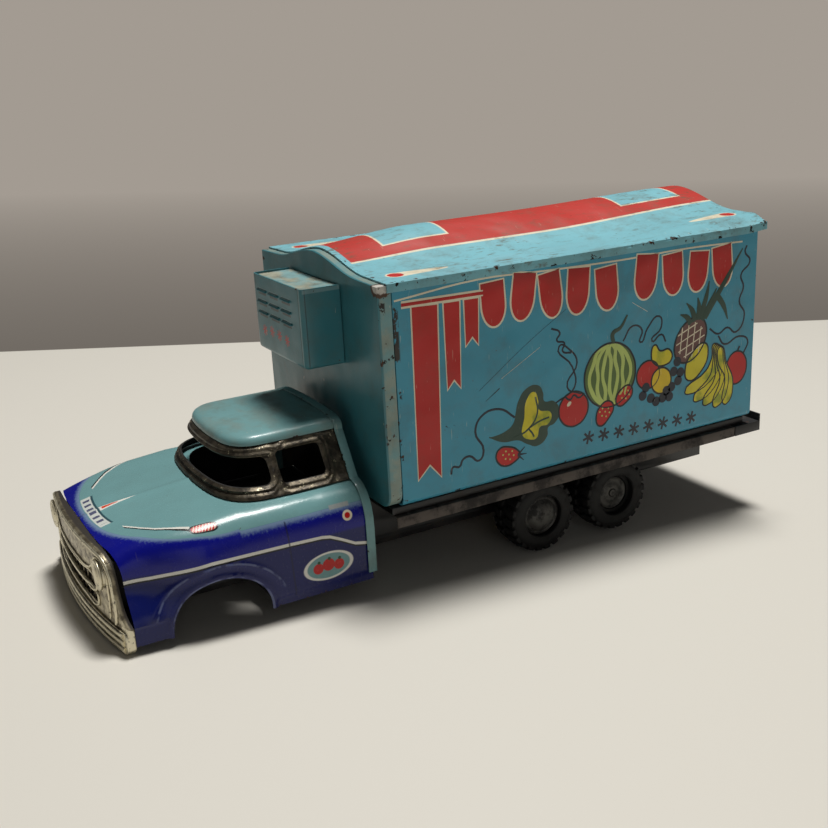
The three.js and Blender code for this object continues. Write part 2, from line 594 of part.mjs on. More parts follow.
// Friction motor: the middle axle drives an idler, and the idler drives the flywheel, in one bracket.
const pitchRadius = (teeth) => (toothModule * teeth) / 2;
const idlerY = midAxle - pitchRadius(driveTeeth) - pitchRadius(pinionTeeth);
const flywheelY = idlerY - pitchRadius(idlerTeeth) - pitchRadius(pinionTeeth);
const bore = axleRadius + gap;
const gear = (teeth, x0, y, phase = 0) => placedX(toothed(teeth, pitchRadius(teeth) + 0.75 * toothModule,
  pitchRadius(teeth) - toothModule, 0.2, 0.56, phase), x0, x0 + gearWidth, y)
  .subtract(rod(bore, x0 - 1, x0 + gearWidth + 1, y, axleHeight));
const driveX = -gearWidth / 2;
const idlerX = driveX + gearWidth + gearSpace;
add('drive_gear', finish.brass, gear(driveTeeth, driveX, midAxle));
add('idler_pinion', finish.brass, gear(pinionTeeth, driveX, idlerY, Math.PI / pinionTeeth));
add('idler_gear', finish.brass, gear(idlerTeeth, idlerX, idlerY));
add('flywheel_pinion', finish.brass, gear(pinionTeeth, idlerX, flywheelY, Math.PI / pinionTeeth));
const wheelX = driveX - gearSpace - flywheelWidth;
add('flywheel', finish.steel, ring(bore, flywheelRadius, wheelX, wheelX + flywheelWidth, flywheelY, 36));
const motorSide = motorWidth / 2;
for (const [name, y] of [['idler_shaft', idlerY], ['flywheel_shaft', flywheelY]]) {
  add(name, finish.steel, rod(axleRadius, -motorSide - 1, motorSide + 1, y, axleHeight));
}
const motorTop = chassisTop - tin - gap;
const motorLow = axleHeight - axleRadius - motorEdge;
let bracket = block(-motorSide, motorSide, flywheelY - motorEnd, midAxle + motorEnd, motorLow, motorTop)
  .subtract(block(tin - motorSide, motorSide - tin, flywheelY - motorEnd - 1, midAxle + motorEnd + 1,
    motorLow - 1, motorTop - tin));
for (const y of [flywheelY, idlerY, midAxle]) bracket = bracket.subtract(axleHole(y, axleRadius + running));
add('motor_bracket', finish.steel, bracket);

// Tipped onto the nose and set down with its box centred on the origin.
truck.rotation.x = pitch;
truck.updateMatrixWorld(true);
const extent = new THREE.Box3().setFromObject(truck, true);
truck.position.set(-(extent.min.x + extent.max.x) / 2, -(extent.min.y + extent.max.y) / 2, -extent.min.z);
const model = new THREE.Group();
model.add(truck);
export default model;
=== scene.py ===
import json
import math
import bpy
import bmesh
from mathutils import Matrix, Vector
from mathutils.geometry import interpolate_bezier


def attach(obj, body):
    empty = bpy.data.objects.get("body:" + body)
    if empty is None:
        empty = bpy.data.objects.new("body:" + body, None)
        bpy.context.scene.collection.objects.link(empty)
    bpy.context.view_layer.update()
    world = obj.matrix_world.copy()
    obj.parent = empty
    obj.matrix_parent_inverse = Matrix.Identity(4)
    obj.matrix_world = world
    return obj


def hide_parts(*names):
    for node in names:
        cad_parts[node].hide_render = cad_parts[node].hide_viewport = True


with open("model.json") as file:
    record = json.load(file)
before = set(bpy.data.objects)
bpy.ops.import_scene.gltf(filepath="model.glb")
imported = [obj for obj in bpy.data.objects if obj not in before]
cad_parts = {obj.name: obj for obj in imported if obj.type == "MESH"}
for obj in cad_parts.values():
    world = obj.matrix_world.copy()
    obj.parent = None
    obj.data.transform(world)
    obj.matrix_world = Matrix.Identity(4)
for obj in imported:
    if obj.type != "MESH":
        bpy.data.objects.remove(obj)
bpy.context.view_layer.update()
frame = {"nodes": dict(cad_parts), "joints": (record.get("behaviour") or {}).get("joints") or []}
nodes = frame["nodes"]
joints = {joint["name"]: joint for joint in frame["joints"]}

# The truck stands on its nose by a few degrees. Everything is shaped in its own level frame, in millimetres:
# +x is its left side, +y its rear, z = 0 the underside of the box walls.
doorAxis = joints["rear_door_hinge"]["axis"]
pitch = math.atan2(-doorAxis[1], doorAxis[2])
tipped = Matrix.Rotation(pitch, 4, "X")
truckPlace = Vector(joints["middle_axle_spin"]["pos_m"]) - tipped @ Vector((0, 0.059, -0.018))
level = Matrix.Translation(truckPlace) @ tipped @ Matrix.Scale(0.001, 4)
print("frame read, pitch", round(math.degrees(pitch), 3))


def ease(t):
    c = min(max(t, 0), 1)
    return c * c * (3 - 2 * c)


def curved(start, handleA, handleB, end, count=8):
    pts = [Vector((*p, 0)) for p in (start, handleA, handleB, end)]
    return [(p.x, p.y) for p in interpolate_bezier(*pts, count)]


def mirrored(half):
    # a whole outline from its half, which starts on the middle line
    return [(-x, y) for x, y in half[::-1]] + half[1:]


def newVerts(made):
    return [g for g in made if isinstance(g, bmesh.types.BMVert)]


def soften(bm, edges, offset, segments=4):
    bmesh.ops.bevel(bm, geom=edges, offset=offset, offset_type="OFFSET", segments=segments, profile=0.5,
                    affect="EDGES", material=-1, clamp_overlap=True)


def faceOut(bm, axis=2, sign=1):
    # an open sheet is turned so that most of it looks along the axis
    bmesh.ops.recalc_face_normals(bm, faces=bm.faces)
    if sum(f.normal[axis] * f.calc_area() for f in bm.faces) * sign < 0:
        bmesh.ops.reverse_faces(bm, faces=bm.faces)


def objectFrom(data):
    made = bpy.data.objects.new(data.name, data)
    bpy.context.scene.collection.objects.link(made)
    return made


def evaluated(made):
    graph = bpy.context.evaluated_depsgraph_get()
    mesh = bpy.data.meshes.new_from_object(made.evaluated_get(graph))
    bm = bmesh.new()
    bm.from_mesh(mesh)
    bpy.data.meshes.remove(mesh)
    return bm


def meshFrom(bm, name="work"):
    mesh = bpy.data.meshes.new(name)
    bm.to_mesh(mesh)
    bm.free()
    return mesh


def thicken(bm, thickness, offset=-1, inner=0):
    made = objectFrom(meshFrom(bm))
    for _ in range(inner + 1):
        made.data.materials.append(None)
    wall = made.modifiers.new("wall", "SOLIDIFY")
    wall.thickness = thickness
    wall.offset = offset
    wall.use_even_offset = True
    wall.material_offset = inner
    result = evaluated(made)
    bpy.data.objects.remove(made)
    return result


def carve(bm, *cutters):
    made = objectFrom(meshFrom(bm))
    for _ in range(2):
        made.data.materials.append(None)
    tools = []
    for cutter in cutters:
        bmesh.ops.recalc_face_normals(cutter, faces=cutter.faces)
        for face in cutter.faces:
            face.material_index = 1
        tool = objectFrom(meshFrom(cutter))
        cut = made.modifiers.new("cut", "BOOLEAN")
        cut.operation = "DIFFERENCE"
        cut.solver = "EXACT"
        cut.object = tool
        tools.append(tool)
    result = evaluated(made)
    for thing in [made] + tools:
        bpy.data.objects.remove(thing)
    return result


def pour(target, source, slot=None, matrix=None):
    if matrix is not None:
        bmesh.ops.transform(source, matrix=matrix, verts=source.verts)
    if slot is not None:
        for face in source.faces:
            face.material_index = slot
    mesh = meshFrom(source)
    target.from_mesh(mesh)
    bpy.data.meshes.remove(mesh)
    return target


def outlineEdges(bm, points, closed=True):
    verts = [bm.verts.new(p) for p in points]
    pairs = list(zip(verts, verts[1:])) + ([(verts[-1], verts[0])] if closed else [])
    return [bm.edges.new(pair) for pair in pairs]


def drawnFrom(points, step, count, closed=False):
    # a line of points pulled along a straight path in equal steps
    bm = bmesh.new()
    edges = outlineEdges(bm, points, closed)
    for _ in range(count):
        made = bmesh.ops.extrude_edge_only(bm, edges=edges)["geom"]
        bmesh.ops.translate(bm, vec=step, verts=newVerts(made))
        edges = [g for g in made if isinstance(g, bmesh.types.BMEdge) and len(g.link_faces) == 1
                 and all(v in made for v in g.verts)]
    bmesh.ops.recalc_face_normals(bm, faces=bm.faces)
    return bm


def slab(points, depth):
    # a closed outline filled and raised
    bm = bmesh.new()
    face = bm.faces.new([bm.verts.new(p) for p in points])
    made = bmesh.ops.extrude_face_region(bm, geom=[face])["geom"]
    bmesh.ops.translate(bm, vec=depth, verts=newVerts(made))
    bmesh.ops.recalc_face_normals(bm, faces=bm.faces)
    return bm


def roundedBlock(low, high, radius, segments=3):
    bm = bmesh.new()
    bmesh.ops.create_cube(bm, size=1)
    size = Vector(high) - Vector(low)
    bmesh.ops.scale(bm, vec=size, verts=bm.verts)
    bmesh.ops.translate(bm, vec=(Vector(high) + Vector(low)) / 2, verts=bm.verts)
    soften(bm, bm.edges, radius, segments)
    return bm


def turnedOnAxle(profile, y, z, side=1, steps=48):
    # profile lists (radius, x); it is spun round an axle along x
    bm = bmesh.new()
    edges = outlineEdges(bm, [(side * x, 0, r) for r, x in profile], closed=False)
    bmesh.ops.spin(bm, geom=list(bm.verts) + edges, axis=(1, 0, 0), cent=(0, 0, 0), steps=steps,
                   angle=2 * math.pi, use_merge=True)
    bmesh.ops.remove_doubles(bm, verts=bm.verts, dist=0.001)
    bmesh.ops.recalc_face_normals(bm, faces=bm.faces)
    bmesh.ops.translate(bm, vec=(0, y, z), verts=bm.verts)
    return bm


def curveFrom(points, kind, closed, widths=None, **settings):
    data = bpy.data.curves.new("line", "CURVE")
    for key, value in settings.items():
        setattr(data, key, value)
    spline = data.splines.new("BEZIER")
    spline.bezier_points.add(len(points) - 1)
    for i, (knot, spot) in enumerate(zip(spline.bezier_points, points)):
        knot.co = spot
        knot.handle_left_type = knot.handle_right_type = kind
        knot.radius = widths[i] if widths else 1
    spline.use_cyclic_u = closed
    made = objectFrom(data)
    bm = evaluated(made)
    bpy.data.objects.remove(made)
    return bm


def strand(points, radius, closed=False, widths=None, kind="AUTO", sides=2, resolution=6):
    return curveFrom(points, kind, closed, widths, dimensions="3D", bevel_depth=radius, bevel_resolution=sides,
                     use_fill_caps=True, resolution_u=resolution)


def inkFill(points, kind="AUTO", thick=0.012):
    # a flat shape with a smooth or cornered outline, as a very thin closed solid
    bm = curveFrom([(*p, 0) for p in points], kind, True, dimensions="2D", fill_mode="BOTH", extrude=thick,
                   resolution_u=6)
    bmesh.ops.remove_doubles(bm, verts=bm.verts, dist=0.0005)
    return bm


def sheetCopy(node, edge=0.14, segments=2, sharp=28):
    # a CAD sheet with its triangles joined up and its edges softened
    bm = bmesh.new()
    bm.from_mesh(nodes[node].data)
    bmesh.ops.transform(bm, matrix=level.inverted(), verts=bm.verts)
    bmesh.ops.remove_doubles(bm, verts=bm.verts, dist=0.001)
    bmesh.ops.dissolve_limit(bm, angle_limit=math.radians(0.5), verts=bm.verts, edges=bm.edges)
    corners = [e for e in bm.edges if len(e.link_faces) == 2 and e.calc_face_angle(0) > math.radians(sharp)]
    soften(bm, corners, edge, segments)
    return bm


def piece(name, bm, body, finishes, replaced=(), smooth=32):
    bmesh.ops.transform(bm, matrix=level, verts=bm.verts)
    mesh = meshFrom(bm, name)
    mesh.shade_smooth()
    mesh.set_sharp_from_angle(angle=math.radians(smooth))
    made = objectFrom(mesh)
    for finish in finishes:
        made.data.materials.append(finish)
    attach(made, body)
    if replaced:
        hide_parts(*replaced)
    return made


def tint(red, green, blue):
    flat = [c / 255 for c in (red, green, blue)]
    return tuple(c / 12.92 if c <= 0.04045 else ((c + 0.055) / 1.055) ** 2.4 for c in flat) + (1.0,)


class Flow:
    def __init__(self, recipe, socket):
        self.recipe = recipe
        self.socket = socket

    def work(self, operation, first, second):
        return self.recipe.node("ShaderNodeMath", {"operation": operation}, {0: first, 1: second})

    def __add__(self, other): return self.work("ADD", self, other)
    def __radd__(self, other): return self.work("ADD", other, self)
    def __sub__(self, other): return self.work("SUBTRACT", self, other)
    def __rsub__(self, other): return self.work("SUBTRACT", other, self)
    def __mul__(self, other): return self.work("MULTIPLY", self, other)
    def __rmul__(self, other): return self.work("MULTIPLY", other, self)
    def __pow__(self, other): return self.work("POWER", self, other)


class Nodes:
    def __init__(self, owner):
        owner.use_nodes = True
        self.tree = owner.node_tree

    def feed(self, socket, value):
        if isinstance(value, Flow):
            self.tree.links.new(value.socket, socket)
        else:
            socket.default_value = value

    def node(self, kind, settings, inputs, output=0):
        made = self.tree.nodes.new(kind)
        for key, value in settings.items():
            if key == "stops":
                ramp = made.color_ramp
                while len(ramp.elements) < len(value):
                    ramp.elements.new(0.5)
                for element, (at, colour) in zip(ramp.elements, value):
                    element.position = at
                    element.color = colour
            else:
                setattr(made, key, value)
        for key, value in inputs.items():
            self.feed(made.inputs[key], value)
        return Flow(self, made.outputs[output])

    def size(self, value):
        return self.node("ShaderNodeMath", {"operation": "ABSOLUTE"}, {0: value})

    def least(self, a, b):
        return self.node("ShaderNodeMath", {"operation": "MINIMUM"}, {0: a, 1: b})

    def most(self, a, b):
        return self.node("ShaderNodeMath", {"operation": "MAXIMUM"}, {0: a, 1: b})

    def wave(self, value):
        return self.node("ShaderNodeMath", {"operation": "SINE"}, {0: value})

    def step(self, value, low, high):
        return self.node("ShaderNodeMapRange", {"interpolation_type": "SMOOTHSTEP"}, {
            "Value": value, "From Min": low, "From Max": high, "To Min": 0.0, "To Max": 1.0})

    def between(self, value, low, high, soft=0.1):
        return self.step(value, low - soft, low + soft) * (1 - self.step(value, high - soft, high + soft))

    def follow(self, value, points):
        # a value that runs through (at, height) points
        at = [p[0] for p in points]
        high = [p[1] for p in points]
        span, rise = at[-1] - at[0], (max(high) - min(high)) or 1
        stops = [((a - at[0]) / span, ((h - min(high)) / rise,) * 3 + (1.0,)) for a, h in points]
        ramp = self.node("ShaderNodeValToRGB", {"stops": stops}, {"Fac": (value - at[0]) * (1 / span)})
        return ramp * rise + min(high)

    def blend(self, share, a, b):
        return self.node("ShaderNodeMix", {"data_type": "RGBA"}, {0: share, 6: a, 7: b}, 2)

    def darker(self, colour, share):
        flat = colour if isinstance(colour, Flow) else colour[:3]
        return self.node("ShaderNodeVectorMath", {"operation": "SCALE"}, {0: flat, 3: share})

    def disc(self, u, v, centre, radius, soft=0.12):
        away = ((u - centre[0]) ** 2.0 + (v - centre[1]) ** 2.0) ** 0.5
        return 1 - self.step(away, radius - soft, radius + soft)


class Recipe(Nodes):
    def __init__(self, name):
        self.material = bpy.data.materials.new(name)
        super().__init__(self.material)
        self.shader = self.tree.nodes["Principled BSDF"]
        spot = self.node("ShaderNodeTexCoord", {}, {}, "Object")
        self.place = self.node("ShaderNodeMapping", {"vector_type": "TEXTURE"}, {
            "Vector": spot, "Location": truckPlace, "Rotation": (pitch, 0, 0), "Scale": (0.001,) * 3})
        self.x = self.node("ShaderNodeSeparateXYZ", {}, {0: self.place}, 0)
        self.y = Flow(self, self.x.socket.node.outputs[1])
        self.z = Flow(self, self.x.socket.node.outputs[2])

    def noise(self, size, detail=3, rough=0.5, stretch=(1, 1, 1), away=(0, 0, 0)):
        spot = self.node("ShaderNodeVectorMath", {"operation": "MULTIPLY_ADD"}, {
            0: self.place, 1: tuple(1 / (size * s) for s in stretch), 2: away})
        return self.node("ShaderNodeTexNoise", {}, {
            "Vector": spot, "Scale": 1.0, "Detail": detail, "Roughness": rough})

    def finish(self, colour, rough, metal=0.0, height=None, strength=0.5, distance=0.0002, **constants):
        for key, value in {"Base Color": colour, "Roughness": rough, "Metallic": metal}.items():
            self.feed(self.shader.inputs[key], value)
        if height is not None:
            bump = self.node("ShaderNodeBump", {}, {"Strength": strength, "Distance": distance, "Height": height})
            self.feed(self.shader.inputs["Normal"], bump)
        for key, value in constants.items():
            self.shader.inputs[key.replace("_", " ")].default_value = value
        return self.material


# navyLow is navy darkened as painted shade for the lower cab side; it is also the ink of the bonnet's vent slots
inks = {
    "sideBlue": tint(58, 146, 172), "frontBlue": tint(54, 116, 126), "roofBlue": tint(122, 182, 194),
    "cabTeal": tint(110, 152, 154), "navy": tint(8, 14, 128), "navyLow": tint(9, 20, 88),
    "red": tint(188, 24, 20), "roofRed": tint(184, 50, 42), "cream": tint(226, 216, 190),
    "white": tint(224, 222, 214), "black": tint(18, 20, 22), "rust": tint(74, 46, 30),
    "grime": tint(92, 82, 62), "dark": tint(24, 22, 20),
}


def aged(r, paint, gloss=0.3, chips=0.5, grime=0.4, rims=0.0, dents=1.0, coat=0.35, scratches=0.25, gleam=0.36):
    # printed tin: uneven fading, brown film, flecks, scratches, and chips that gather at the rims
    broad = r.noise(42, 3)
    film = r.step(r.noise(13, 6, 0.68, away=(3, 5, 2)), 0.46, 0.72)
    fine = r.noise(1.3, 4, 0.6)
    fleck = r.step(r.noise(1.5, 3, 0.6, away=(9, 1, 4)), 0.725, 0.755) * chips
    scratch = r.step(r.noise(3.2, 2, 0.5, stretch=(1, 0.16, 1.6), away=(0, 7, 1)), 0.72, 0.745)
    chipField = r.noise(3.4, 6, 0.62, away=(5, 5, 5))
    chip = r.step(chipField + rims * 0.12, 0.745 - 0.03 * chips, 0.765 - 0.03 * chips)
    colour = r.darker(paint, 0.86 + 0.28 * broad)
    colour = r.blend(film * grime, colour, inks["grime"])
    colour = r.blend(fleck, colour, inks["rust"])
    colour = r.blend(scratch * scratches, colour, inks["cream"])
    bareShare = r.step(r.noise(2, 2, away=(2, 8, 8)), 0.45, 0.6)
    colour = r.blend(chip, colour, r.blend(bareShare, inks["dark"], inks["rust"]))
    rough = gloss + 0.3 * film * grime + 0.12 * fine + 0.25 * chip
    height = r.noise(26, 2, away=(1, 1, 6)) * (6.0 * dents) + fine * 0.10 - chip * 0.35 - scratch * 0.1
    return r.finish(colour, rough, chip * 0.3, height, 0.4, 0.001, Coat_Weight=coat * 0.5, Coat_Roughness=0.16,
                    Specular_IOR_Level=gleam)


# the truck's main sizes, as in its CAD
size = {"tin": 0.5, "boxLength": 148, "boxSide": 43.3, "roofSide": 44.1, "eave": 69.3, "bodySide": 40.3,
        "bodyRear": -5.3, "nose": -82.6, "axle": -18, "middleAxle": 59, "rearAxle": 90}


def roofZ(x, y):
    across = abs(x)
    along = y / size["boxLength"]
    crown = (1 + math.cos(math.pi * min(across / 30, 1))) / 2
    back = ease(2 * along - 1)
    height = 4.2 + 3.2 * ease(4 * along) - 1.8 * back
    shoulder = 1 - ease((across - size["roofSide"] + 6.5) / 6.5)
    return size["eave"] + 0.9 * (1 - across / size["boxSide"]) + crown * height + 3 * back * shoulder


def boxPaint(name, colour, front=False):
    r = Recipe(name)
    across = r.size(r.x)
    edges = r.step(r.z, 2.5, 0) + r.step(r.z, 66.5, 69) + r.step(r.y, 7.5, 5) + r.step(r.y, 146, 148)
    if front:
        edges = r.step(across, 39.5, 43) + r.step(r.z, 5, 0) * 0.8
        rim = r.between(r.y, 0.7, 6, 0.25)
        dusty = r.step(r.noise(7, 4, 0.6, away=(6, 6, 6)), 0.4, 0.6)
        colour = r.blend(rim * 0.8, colour, r.blend(dusty, tint(118, 158, 160), tint(146, 158, 146)))
    ragged = r.noise(1.6, 4, 0.65, away=(2, 4, 4))
    torn = r.noise(5, 2, stretch=(1, 1, 2.2), away=(0, 3, 6))
    atFold = r.between(r.y, 0.3, 2.3, 0.3) if front else r.between(r.y, 4.6, 6.4, 0.3)
    flaked = atFold * r.step(across, 41.5, 42.6) * r.step(torn + ragged * 0.5, 0.845, 0.875)
    colour = r.blend(flaked, colour, inks["dark"])
    if front:
        # the front left corner is worn down to bare tin
        corner = ((r.x - 42.4) ** 2.0 + ((r.z - 68.6) * 0.9) ** 2.0 + ((r.y - 1.6) * 0.8) ** 2.0) ** 0.5
        corner = corner + (ragged - 0.5) * 2.2
        colour = r.blend(1 - r.step(corner, 2.9, 3.2), colour, inks["rust"])
        colour = r.blend(1 - r.step(corner, 2.0, 2.3), colour, tint(206, 202, 194))
    return aged(r, colour, 0.3, 0.8, 0.28, r.least(edges, 1.0) * 0.9, coat=0.4)


sidePaint = boxPaint("box_side_paint", inks["sideBlue"])
frontPaint = boxPaint("box_front_paint", inks["frontBlue"], True)
doorPaint = boxPaint("rear_door_paint", inks["sideBlue"], True)


def roofPaintMade():
    r = Recipe("roof_paint")
    across = r.size(r.x)
    red = r.between(across, -5, 17, 0.25) * r.between(r.y, 5.2, 151, 0.25)
    panel = r.between(r.x, -12, 10.5, 0.25) * r.most(r.between(r.y, 20, 43, 0.3), r.between(r.y, 115, 141, 0.3))
    line = r.between(across, 17, 18.0, 0.2) * r.between(r.y, 5, 151, 0.2)
    colour = r.blend(line, inks["roofBlue"], inks["cream"])
    colour = r.blend(red, colour, inks["roofRed"])
    panelRows = r.most(r.between(r.y, 19.3, 43.7, 0.2), r.between(r.y, 114.3, 141.7, 0.2))
    panelEdge = r.between(r.x, -12.7, 11.2, 0.2) * panelRows
    colour = r.blend(panelEdge, colour, inks["cream"])
    colour = r.blend(panel, colour, inks["roofBlue"])
    for centre, tip in ((11, 29), (142, 125)):
        along = (r.y - centre) * (1 / (tip - centre))
        width = 2.9 * (1.02 - along) ** 0.5
        tail = r.between(along, 0, 1, 0.02) * (1 - r.step(r.size(across - 34.5) - width, -0.1, 0.2))
        colour = r.blend(tail, colour, inks["cream"])
        colour = r.blend(r.disc(across, r.y, (34.5, centre), 3.1), colour, inks["cream"])
        colour = r.blend(r.disc(across, r.y, (34.5, centre), 2.5), colour, inks["red"])
    grain = r.step(r.noise(2.6, 5, 0.7, stretch=(0.7, 2.2, 1), away=(4, 0, 9)), 0.52, 0.68)
    patch = r.step(r.noise(30, 3, away=(8, 3, 1)), 0.42, 0.6)
    dashes = r.step(r.noise(1.8, 4, 0.65, stretch=(0.8, 2.6, 1), away=(1, 8, 2)), 0.66, 0.72)
    colour = r.blend(grain * (patch * 0.6 + 0.25), colour, inks["grime"])
    colour = r.blend(dashes * (0.35 + patch * 0.5), colour, tint(66, 60, 44))
    eaveFold = r.between(across, 42.2, 44.5, 0.5)
    ends = r.step(r.y, 6, 3) + r.step(r.y, 146, 151)
    return aged(r, colour, 0.4, 1.0, 0.35, r.least(eaveFold + ends * 0.8, 1.0), coat=0.15)


roofPaint = roofPaintMade()


def bareMetal(name, light, dark, rust, rough=0.38, metal=0.85, scale=1.0):
    r = Recipe(name)
    blotch = r.noise(4.5 * scale, 6, 0.66)
    fine = r.noise(0.8 * scale, 4, 0.6, away=(3, 2, 1))
    film = r.step(blotch, 0.44, 0.6)
    colour = r.blend(film, light, dark)
    spots = r.step(r.noise(1.6 * scale, 5, 0.7, away=(7, 7, 1)), 0.6, 0.7)
    colour = r.blend(spots, colour, rust)
    roughness = rough + 0.25 * film + 0.15 * fine
    return r.finish(colour, roughness, metal - 0.55 * spots - 0.25 * film, blotch * 0.5 + fine * 0.4, 0.5, 0.00015)


bedMetal = bareMetal("bed_edge_metal", tint(84, 77, 72), tint(46, 42, 40), tint(40, 32, 27), 0.5, 0.5, 2.2)
# the hubs and axles are dark grey metal, darkened further as painted shade, since the wheels stand in the truck's
# shadow
hubMetalAndShade = bareMetal("hub_metal", tint(76, 75, 72), tint(38, 37, 36), tint(24, 21, 19), 0.42, 0.6, 0.8)
steel = bareMetal("plain_steel", tint(150, 148, 142), tint(96, 92, 86), tint(80, 52, 34), 0.35, 0.9)
gearBrass = bareMetal("gear_brass", tint(188, 156, 84), tint(128, 100, 52), tint(64, 48, 30), 0.35, 0.9)


def windowMetalMade():
    r = Recipe("window_gunmetal")
    cloud = r.step(r.noise(3.4, 5, 0.62, away=(3, 3, 3)), 0.38, 0.62)
    grain = r.noise(0.7, 4, 0.65)
    colour = r.blend(cloud, tint(96, 88, 74), tint(54, 49, 42))
    pits = r.step(r.noise(1.0, 4, 0.7, away=(7, 7, 1)), 0.56, 0.66)
    colour = r.blend(pits * 0.8, colour, tint(28, 25, 21))
    glint = r.step(r.noise(0.9, 3, 0.6, away=(8, 1, 5)), 0.6, 0.66) * r.step(r.noise(5, 2, away=(1, 6, 1)), 0.5, 0.6)
    colour = r.blend(glint * 0.9, colour, tint(190, 180, 150))
    return r.finish(colour, 0.36 + 0.25 * pits + 0.1 * grain, 0.75 - 0.45 * pits, grain - pits * 0.6, 0.45, 0.00012)


windowMetal = windowMetalMade()


def platedTinMade():
    # high spots are worn, pale plating with a painted highlight; hollows are brown, dull corrosion with painted shade
    r = Recipe("corroded_plating_and_painted_light")
    behind = r.y + 86.1 - (r.x * (1 / 40.3)) ** 2.0 * 4.2
    bumper = r.step(r.z, -15.8, -17)
    behind = behind + bumper * (0.75 - 2.6 * r.step(r.size(r.x), 36.2, 38))
    fine = r.noise(0.8, 4, 0.65, away=(3, 2, 1))
    blotch = r.noise(2.6, 5, 0.68)
    # painted highlight where the pressing stands furthest forward, painted shade in its hollows, on top of worn plating
    # and brown corrosion
    proudWearAndHighlight = 1 - r.step(behind + (blotch - 0.5) * 0.9, -0.30, 0.15)
    hollowRustAndShade = r.step(behind + (fine - 0.5) * 0.6, 0.55, 1.3)
    body = r.blend(r.step(blotch, 0.42, 0.6), tint(150, 140, 116), tint(104, 95, 78))
    colour = r.blend(proudWearAndHighlight, body, tint(222, 214, 188))
    colour = r.blend(hollowRustAndShade, colour, tint(44, 38, 31))
    spots = r.step(r.noise(1.1, 5, 0.7, away=(7, 7, 1)), 0.585, 0.655)
    colour = r.blend(spots * 0.85, colour, tint(48, 41, 33))
    rough = 0.3 + 0.3 * hollowRustAndShade + 0.25 * spots + 0.15 * fine
    height = blotch * 0.4 + fine * 0.4 - spots * 0.5
    return r.finish(colour, rough, 0.75 - 0.5 * hollowRustAndShade - 0.4 * spots, height, 0.4, 0.00014)


platedTin = platedTinMade()


def blackTinMade():
    r = Recipe("black_tin")
    film = r.noise(9, 5, 0.65)
    dust = r.step(film, 0.48, 0.7)
    colour = r.blend(dust * 0.6, tint(22, 22, 24), tint(62, 56, 50))
    rust = r.step(r.noise(2.2, 4, 0.6, away=(2, 2, 9)), 0.66, 0.72)
    colour = r.blend(rust, colour, inks["rust"])
    return r.finish(colour, 0.42 + 0.3 * dust, 0.0, film + r.noise(0.9, 3) * 0.2, 0.4, 0.0003)


blackTin = blackTinMade()


def rubberMade():
    r = Recipe("tyre_rubber")
    film = r.noise(3.5, 5, 0.6)
    # dust on the tyres, kept dark as painted shade, since the wheels stand in the truck's shadow
    dust = r.step(film, 0.5, 0.72)
    colour = r.blend(dust * 0.4, tint(9, 9, 9), tint(34, 32, 30))
    height = film + r.noise(0.5, 3) * 0.35
    return r.finish(colour, 0.62 + 0.25 * dust, 0.0, height, 0.5, 0.0002, Specular_IOR_Level=0.35)


rubber = rubberMade()
# inner faces of the cab: bare tin, painted much darker as the shade inside the cab and its arches
insideTinAndShade = bareMetal("inside_tin_and_shade", tint(34, 32, 30), tint(20, 19, 18), tint(40, 28, 20), 0.6, 0.3, 2.0)
print("first materials made")


wall = {"rim": 4.5, "foldRadius": 2.3, "top": 68.5, "front": 4.8, "steps": 24}
for hand, side in (("left", 1), ("right", -1)):
    front, out = wall["front"], side * size["boxSide"]
    section = [(out - side * wall["rim"], front, 0), (out, front, 0), (out, front, wall["top"])]
    bm = drawnFrom(section, (0, (size["boxLength"] - front) / wall["steps"], 0), wall["steps"])
    fold = [e for e in bm.edges if all(abs(v.co.x - out) < 0.01 and abs(v.co.z) < 0.01 for v in e.verts)]
    soften(bm, fold, wall["foldRadius"])
    faceOut(bm, 0, side)
    piece("box_wall_" + hand, thicken(bm, size["tin"]), "root", [sidePaint], ("box_%s_wall" % hand,))

panel = {"rim": 4.5, "corner": 5, "fold": 1.0, "belowRoof": 0.62, "steps": 36}


def panelOutline(side, low, y):
    turns = [math.pi / 16 * i for i in range(9)]
    arc = [(side - panel["corner"] * (1 - math.sin(a)), low + panel["corner"] * (1 - math.cos(a))) for a in turns]
    top = [side * math.cos(math.pi * i / panel["steps"]) for i in range(panel["steps"] + 1)]
    return [(-x, z) for x, z in arc[::-1]] + arc + [(x, roofZ(x, y) - panel["belowRoof"]) for x in top]


def panMade(y, rim, outline, towards):
    bm = bmesh.new()
    face = bm.faces.new([bm.verts.new((x, y, z)) for x, z in outline])
    border = list(face.edges)
    made = bmesh.ops.extrude_edge_only(bm, edges=border)["geom"]
    bmesh.ops.translate(bm, vec=(0, towards * rim, 0), verts=newVerts(made))
    soften(bm, border, panel["fold"])
    bmesh.ops.recalc_face_normals(bm, faces=bm.faces)
    middle = max(bm.faces, key=lambda f: f.calc_area())
    if middle.normal.y * towards > 0:
        bmesh.ops.reverse_faces(bm, faces=bm.faces)
    return thicken(bm, size["tin"])


piece("front_pan", panMade(0, panel["rim"], panelOutline(size["boxSide"], 0, 0), 1), "root", [frontPaint],
      ("box_front_panel",), smooth=40)

